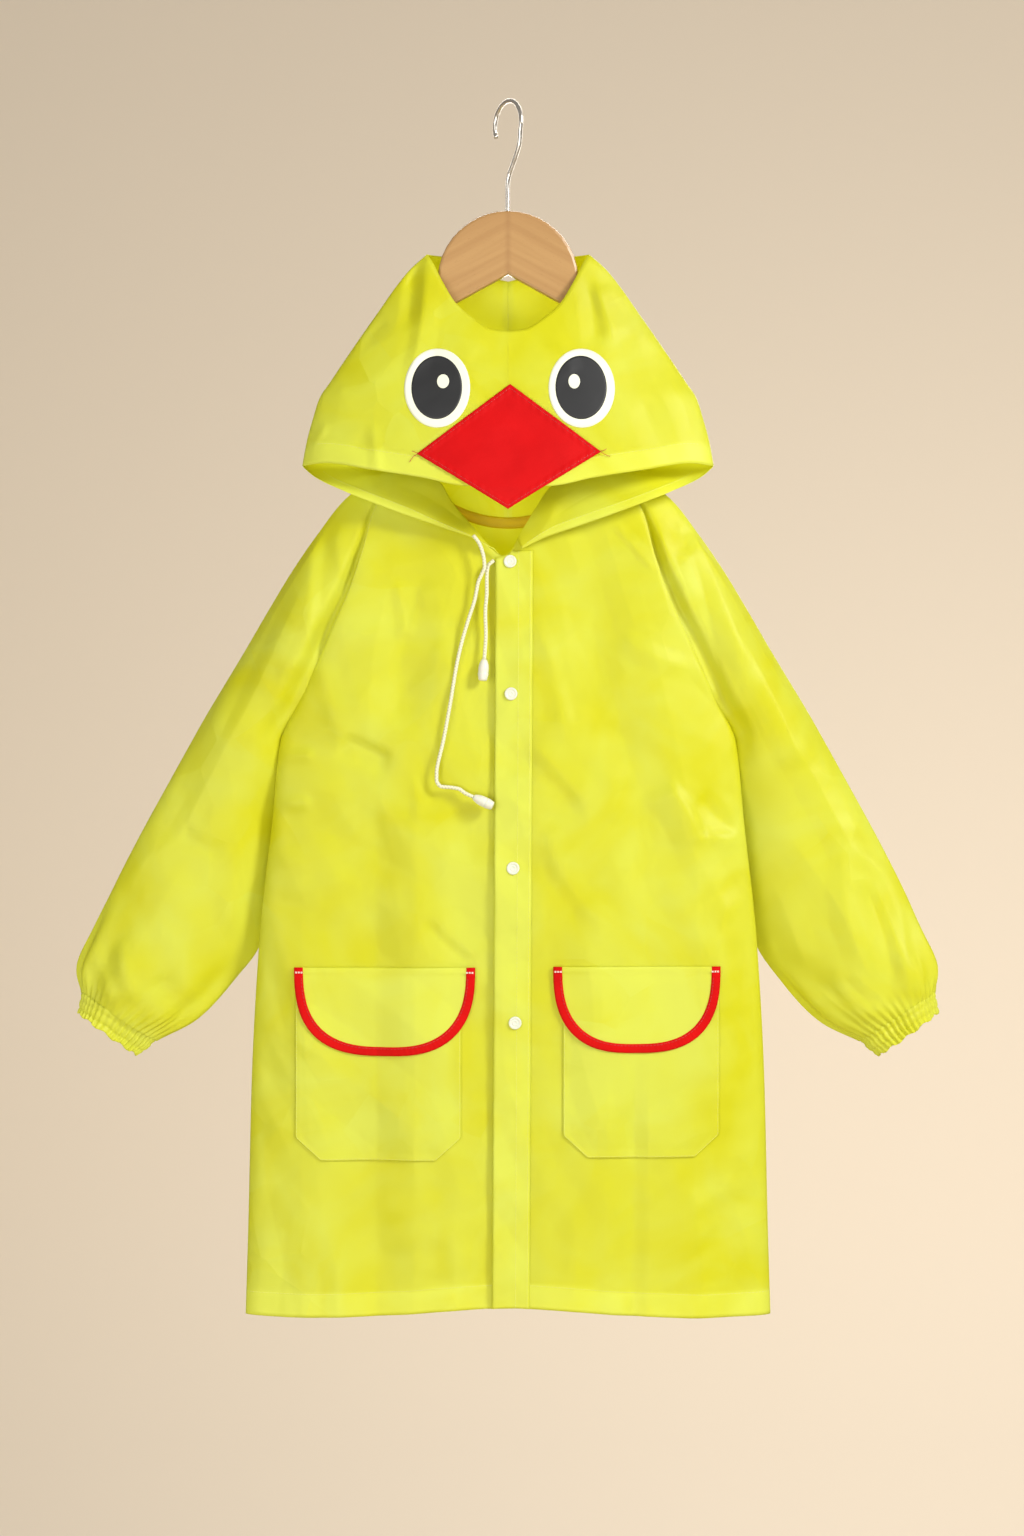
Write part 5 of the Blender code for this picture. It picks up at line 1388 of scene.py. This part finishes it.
class RAINCOAT_OT_stitching(bpy.types.Operator):
    """Sews the hems, the placket, the pockets, the flaps, the beak and the seams"""

    bl_idname = "raincoat.stitching"
    bl_label = "Stitching"

    def execute(self, context):
        self.sew_coat()
        self.sew_trim()
        self.sew_flaps()
        return {"FINISHED"}

    def sew_coat(self):
        """The coat's own yellow seams: hems, raglans, placket, pockets, and the hood's rim and edge."""
        along, down = np.linspace(0, 1, 240), HEM_DEPTH - SEAM_MARGIN
        rows = []
        for side in (RIGHT, LEFT):
            x = np.linspace(FRONT_INNER_EDGE[side][1] * side, side * HEM_REACH, 240)
            z = hem_height(x) + down
            rows.append(stitched(vec(x, panel_y(side, x, z) - BAND_RISE, z)))
            rows.append(stitched(front_surface(side, np.full(240, RAGLAN_SEAM), RAGLAN_REACH * along)))
        x = np.linspace(-HEM_REACH, HEM_REACH, 480)
        z = hem_height(x) + down
        rows.append(stitched(vec(x, back_y(x, z) + BAND_RISE, z), facing=1.0))
        rows += [stitched(placket_surface(np.full(240, share), along)) for share in PLACKET_SEAMS]
        for side in (RIGHT, LEFT):
            left, right, mouth, chamfer, bottom, cut = POCKETS[side]
            half = [(left + SEAM_MARGIN, mouth), (left + SEAM_MARGIN, chamfer), (left + cut, bottom + SEAM_MARGIN)]
            other = [(right - cut, bottom + SEAM_MARGIN), (right - SEAM_MARGIN, chamfer), (right - SEAM_MARGIN, mouth)]
            for x, z in sides_of(half + other):
                rows.append(stitched(vec(x, layer_y(side, x, z, 1) + 0.1, z)))
            x = side * np.linspace(*RIM_SEAM, 160)
            z = rim_height(x) + RIM_DEPTH - SEAM_MARGIN
            rows.append(stitched(vec(x, hood_front_y(x, z) - BAND_RISE, z)))
            u = np.linspace(0.02, FLAP_SHARE * 0.97, 160)
            rows.append(stitched(hood_lower_surface(side, u, np.full(160, EDGE_SEAM))))
        add_piece(stitch_object("coat_stitching", rows, 0.42), "yellow thread")

    def sew_trim(self):
        """The red seams, round the beak and along the flaps' bindings."""
        low, high = BEAK_MARGIN, 1 - BEAK_MARGIN
        corners = [(low, low), (high, low), (high, high), (low, high), (low, low)]
        rows = [stitched(beak_surface(u, v)) for u, v in sides_of(corners)]
        for side in (RIGHT, LEFT):
            x, z = flap_outline(side, np.linspace(0.02, 0.98, 200) * math.pi, BINDING_WIDTH - 2.0)
            rows.append(stitched(vec(x, layer_y(side, x, z, 2) - 1.45, z), 0.2))
        add_piece(stitch_object("trim_stitching", rows, 0.5), "red thread")

    def sew_flaps(self):
        """Short tacks of two rows at both ends of each flap."""
        rows = []
        for side, (middle, half_width, top, _) in FLAPS.items():
            for end in (-1, 1):
                tack = middle + end * (half_width - 4.2)
                for drop in (4.0, 4.8):
                    x, z = np.linspace(tack - 3.6, tack + 3.6, 12), np.full(12, top - drop)
                    rows.append(stitched(vec(x, layer_y(side, x, z, 2) - 1.9, z), 0.2, 2.0))
        add_piece(stitch_object("flap_tacks", rows, 0.6), "white thread")


NEUTRAL, COAT_MIDDLE = (1.0, 1.0, 0.98), (0, 0, -0.55)
# Each lamp's name, place, what it points at, width, power in watts and colour.
LAMPS = (
    ("key", (2.5, -1.9, 1.1), COAT_MIDDLE, 0.9, 119.0, NEUTRAL),
    ("fill", (-1.9, -2.8, -0.6), COAT_MIDDLE, 2.0, 48.0, NEUTRAL),
    ("back", (0.2, 1.8, 0.2), COAT_MIDDLE, 1.6, 62.0, (1.0, 1.0, 0.97)),
    ("low_fill", (0.2, -3.1, -1.6), COAT_MIDDLE, 1.4, 31.0, NEUTRAL),
    ("wall_light", (1.7, 2.2, -1.8), (0.6, 6.5, -0.9), 2.0, 118.0, (1.0, 0.99, 0.99)),
)


class RAINCOAT_OT_stage(bpy.types.Operator):
    """Adds a plain pale wall and floor, and soft light from the upper left of the wearer"""

    bl_idname = "raincoat.stage"
    bl_label = "Stage"

    def execute(self, context):
        stage = context.scene.raincoat_stage
        u, v = parameters(2, 40)
        bend, back, wall_top, front = 1.6, 6.5, 9.0, -9.0
        arc = math.pi / 2 * bend
        floor = back - bend - front
        s = v * (floor + arc + wall_top) - floor
        angle = np.clip(s / bend, 0, math.pi / 2)
        y = np.where(s < 0, back - bend + s, back - bend + bend * np.sin(angle))
        z = np.where(s < 0, 0, bend * (1 - np.cos(angle)) + np.maximum(s - arc, 0)) + stage.floor_height
        wall = mesh_object("studio_wall_and_floor", vec((u - 0.5) * 24.0, y, z) / MM, grid_faces(2, 40))
        wall.data.materials.append(finish("studio wall"))
        for name, place, target, size, power, colour in LAMPS:
            lamp = bpy.data.lights.new(name, "AREA")
            lamp.size, lamp.energy, lamp.color = size, power, colour
            holder = bpy.data.objects.new(name, lamp)
            holder.location = place
            holder.rotation_euler = aim(place, target)
            context.scene.collection.objects.link(holder)
        world = bpy.data.worlds.new("studio")
        world.use_nodes = True
        background = world.node_tree.nodes["Background"]
        background.inputs["Color"].default_value = (1.0, 0.97, 0.93, 1)
        background.inputs["Strength"].default_value = 0.36
        context.scene.world = world
        context.scene.view_settings.view_transform = "Standard"
        return {"FINISHED"}


def aim(place, target):
    """The turn about X and then Z that points a lamp's -Z from its place to a target."""
    x, y, z = (b - a for a, b in zip(place, target))
    return math.atan2(math.hypot(x, y), -z), 0.0, math.atan2(y, x) - math.pi / 2


STEPS = (
    RAINCOAT_OT_camera,
    RAINCOAT_OT_drawstring,
    RAINCOAT_OT_fronts,
    RAINCOAT_OT_back,
    RAINCOAT_OT_sleeves,
    RAINCOAT_OT_hood,
    RAINCOAT_OT_face,
    RAINCOAT_OT_pockets,
    RAINCOAT_OT_snaps,
    RAINCOAT_OT_hanger,
    RAINCOAT_OT_stitching,
    RAINCOAT_OT_stage,
)


class RAINCOAT_PT_panel(bpy.types.Panel):
    """Lists the coat's settings and steps"""

    bl_idname = "RAINCOAT_PT_panel"
    bl_label = "Hooded Raincoat"
    bl_space_type = "VIEW_3D"
    bl_region_type = "UI"
    bl_category = "Raincoat"

    def draw(self, context):
        """Both groups of settings, and a button for each step."""
        for group in (context.scene.raincoat, context.scene.raincoat_stage):
            for name in group.__annotations__:
                self.layout.prop(group, name)
        for step in STEPS:
            self.layout.operator(step.bl_idname)


CLASSES = (RaincoatSettings, StageSettings, *STEPS, RAINCOAT_PT_panel)


def register():
    """Registers the classes and the two groups of settings."""
    for cls in CLASSES:
        bpy.utils.register_class(cls)
    bpy.types.Scene.raincoat = PointerProperty(type=RaincoatSettings)
    bpy.types.Scene.raincoat_stage = PointerProperty(type=StageSettings)


def unregister():
    """Takes the settings and the classes away again."""
    del bpy.types.Scene.raincoat
    del bpy.types.Scene.raincoat_stage
    for cls in reversed(CLASSES):
        bpy.utils.unregister_class(cls)


def main():
    """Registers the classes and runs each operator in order."""
    register()
    for step in STEPS:
        group, name = step.bl_idname.split(".")
        getattr(getattr(bpy.ops, group), name)()
    bpy.context.view_layer.update()


if __name__ == "__main__":
    main()
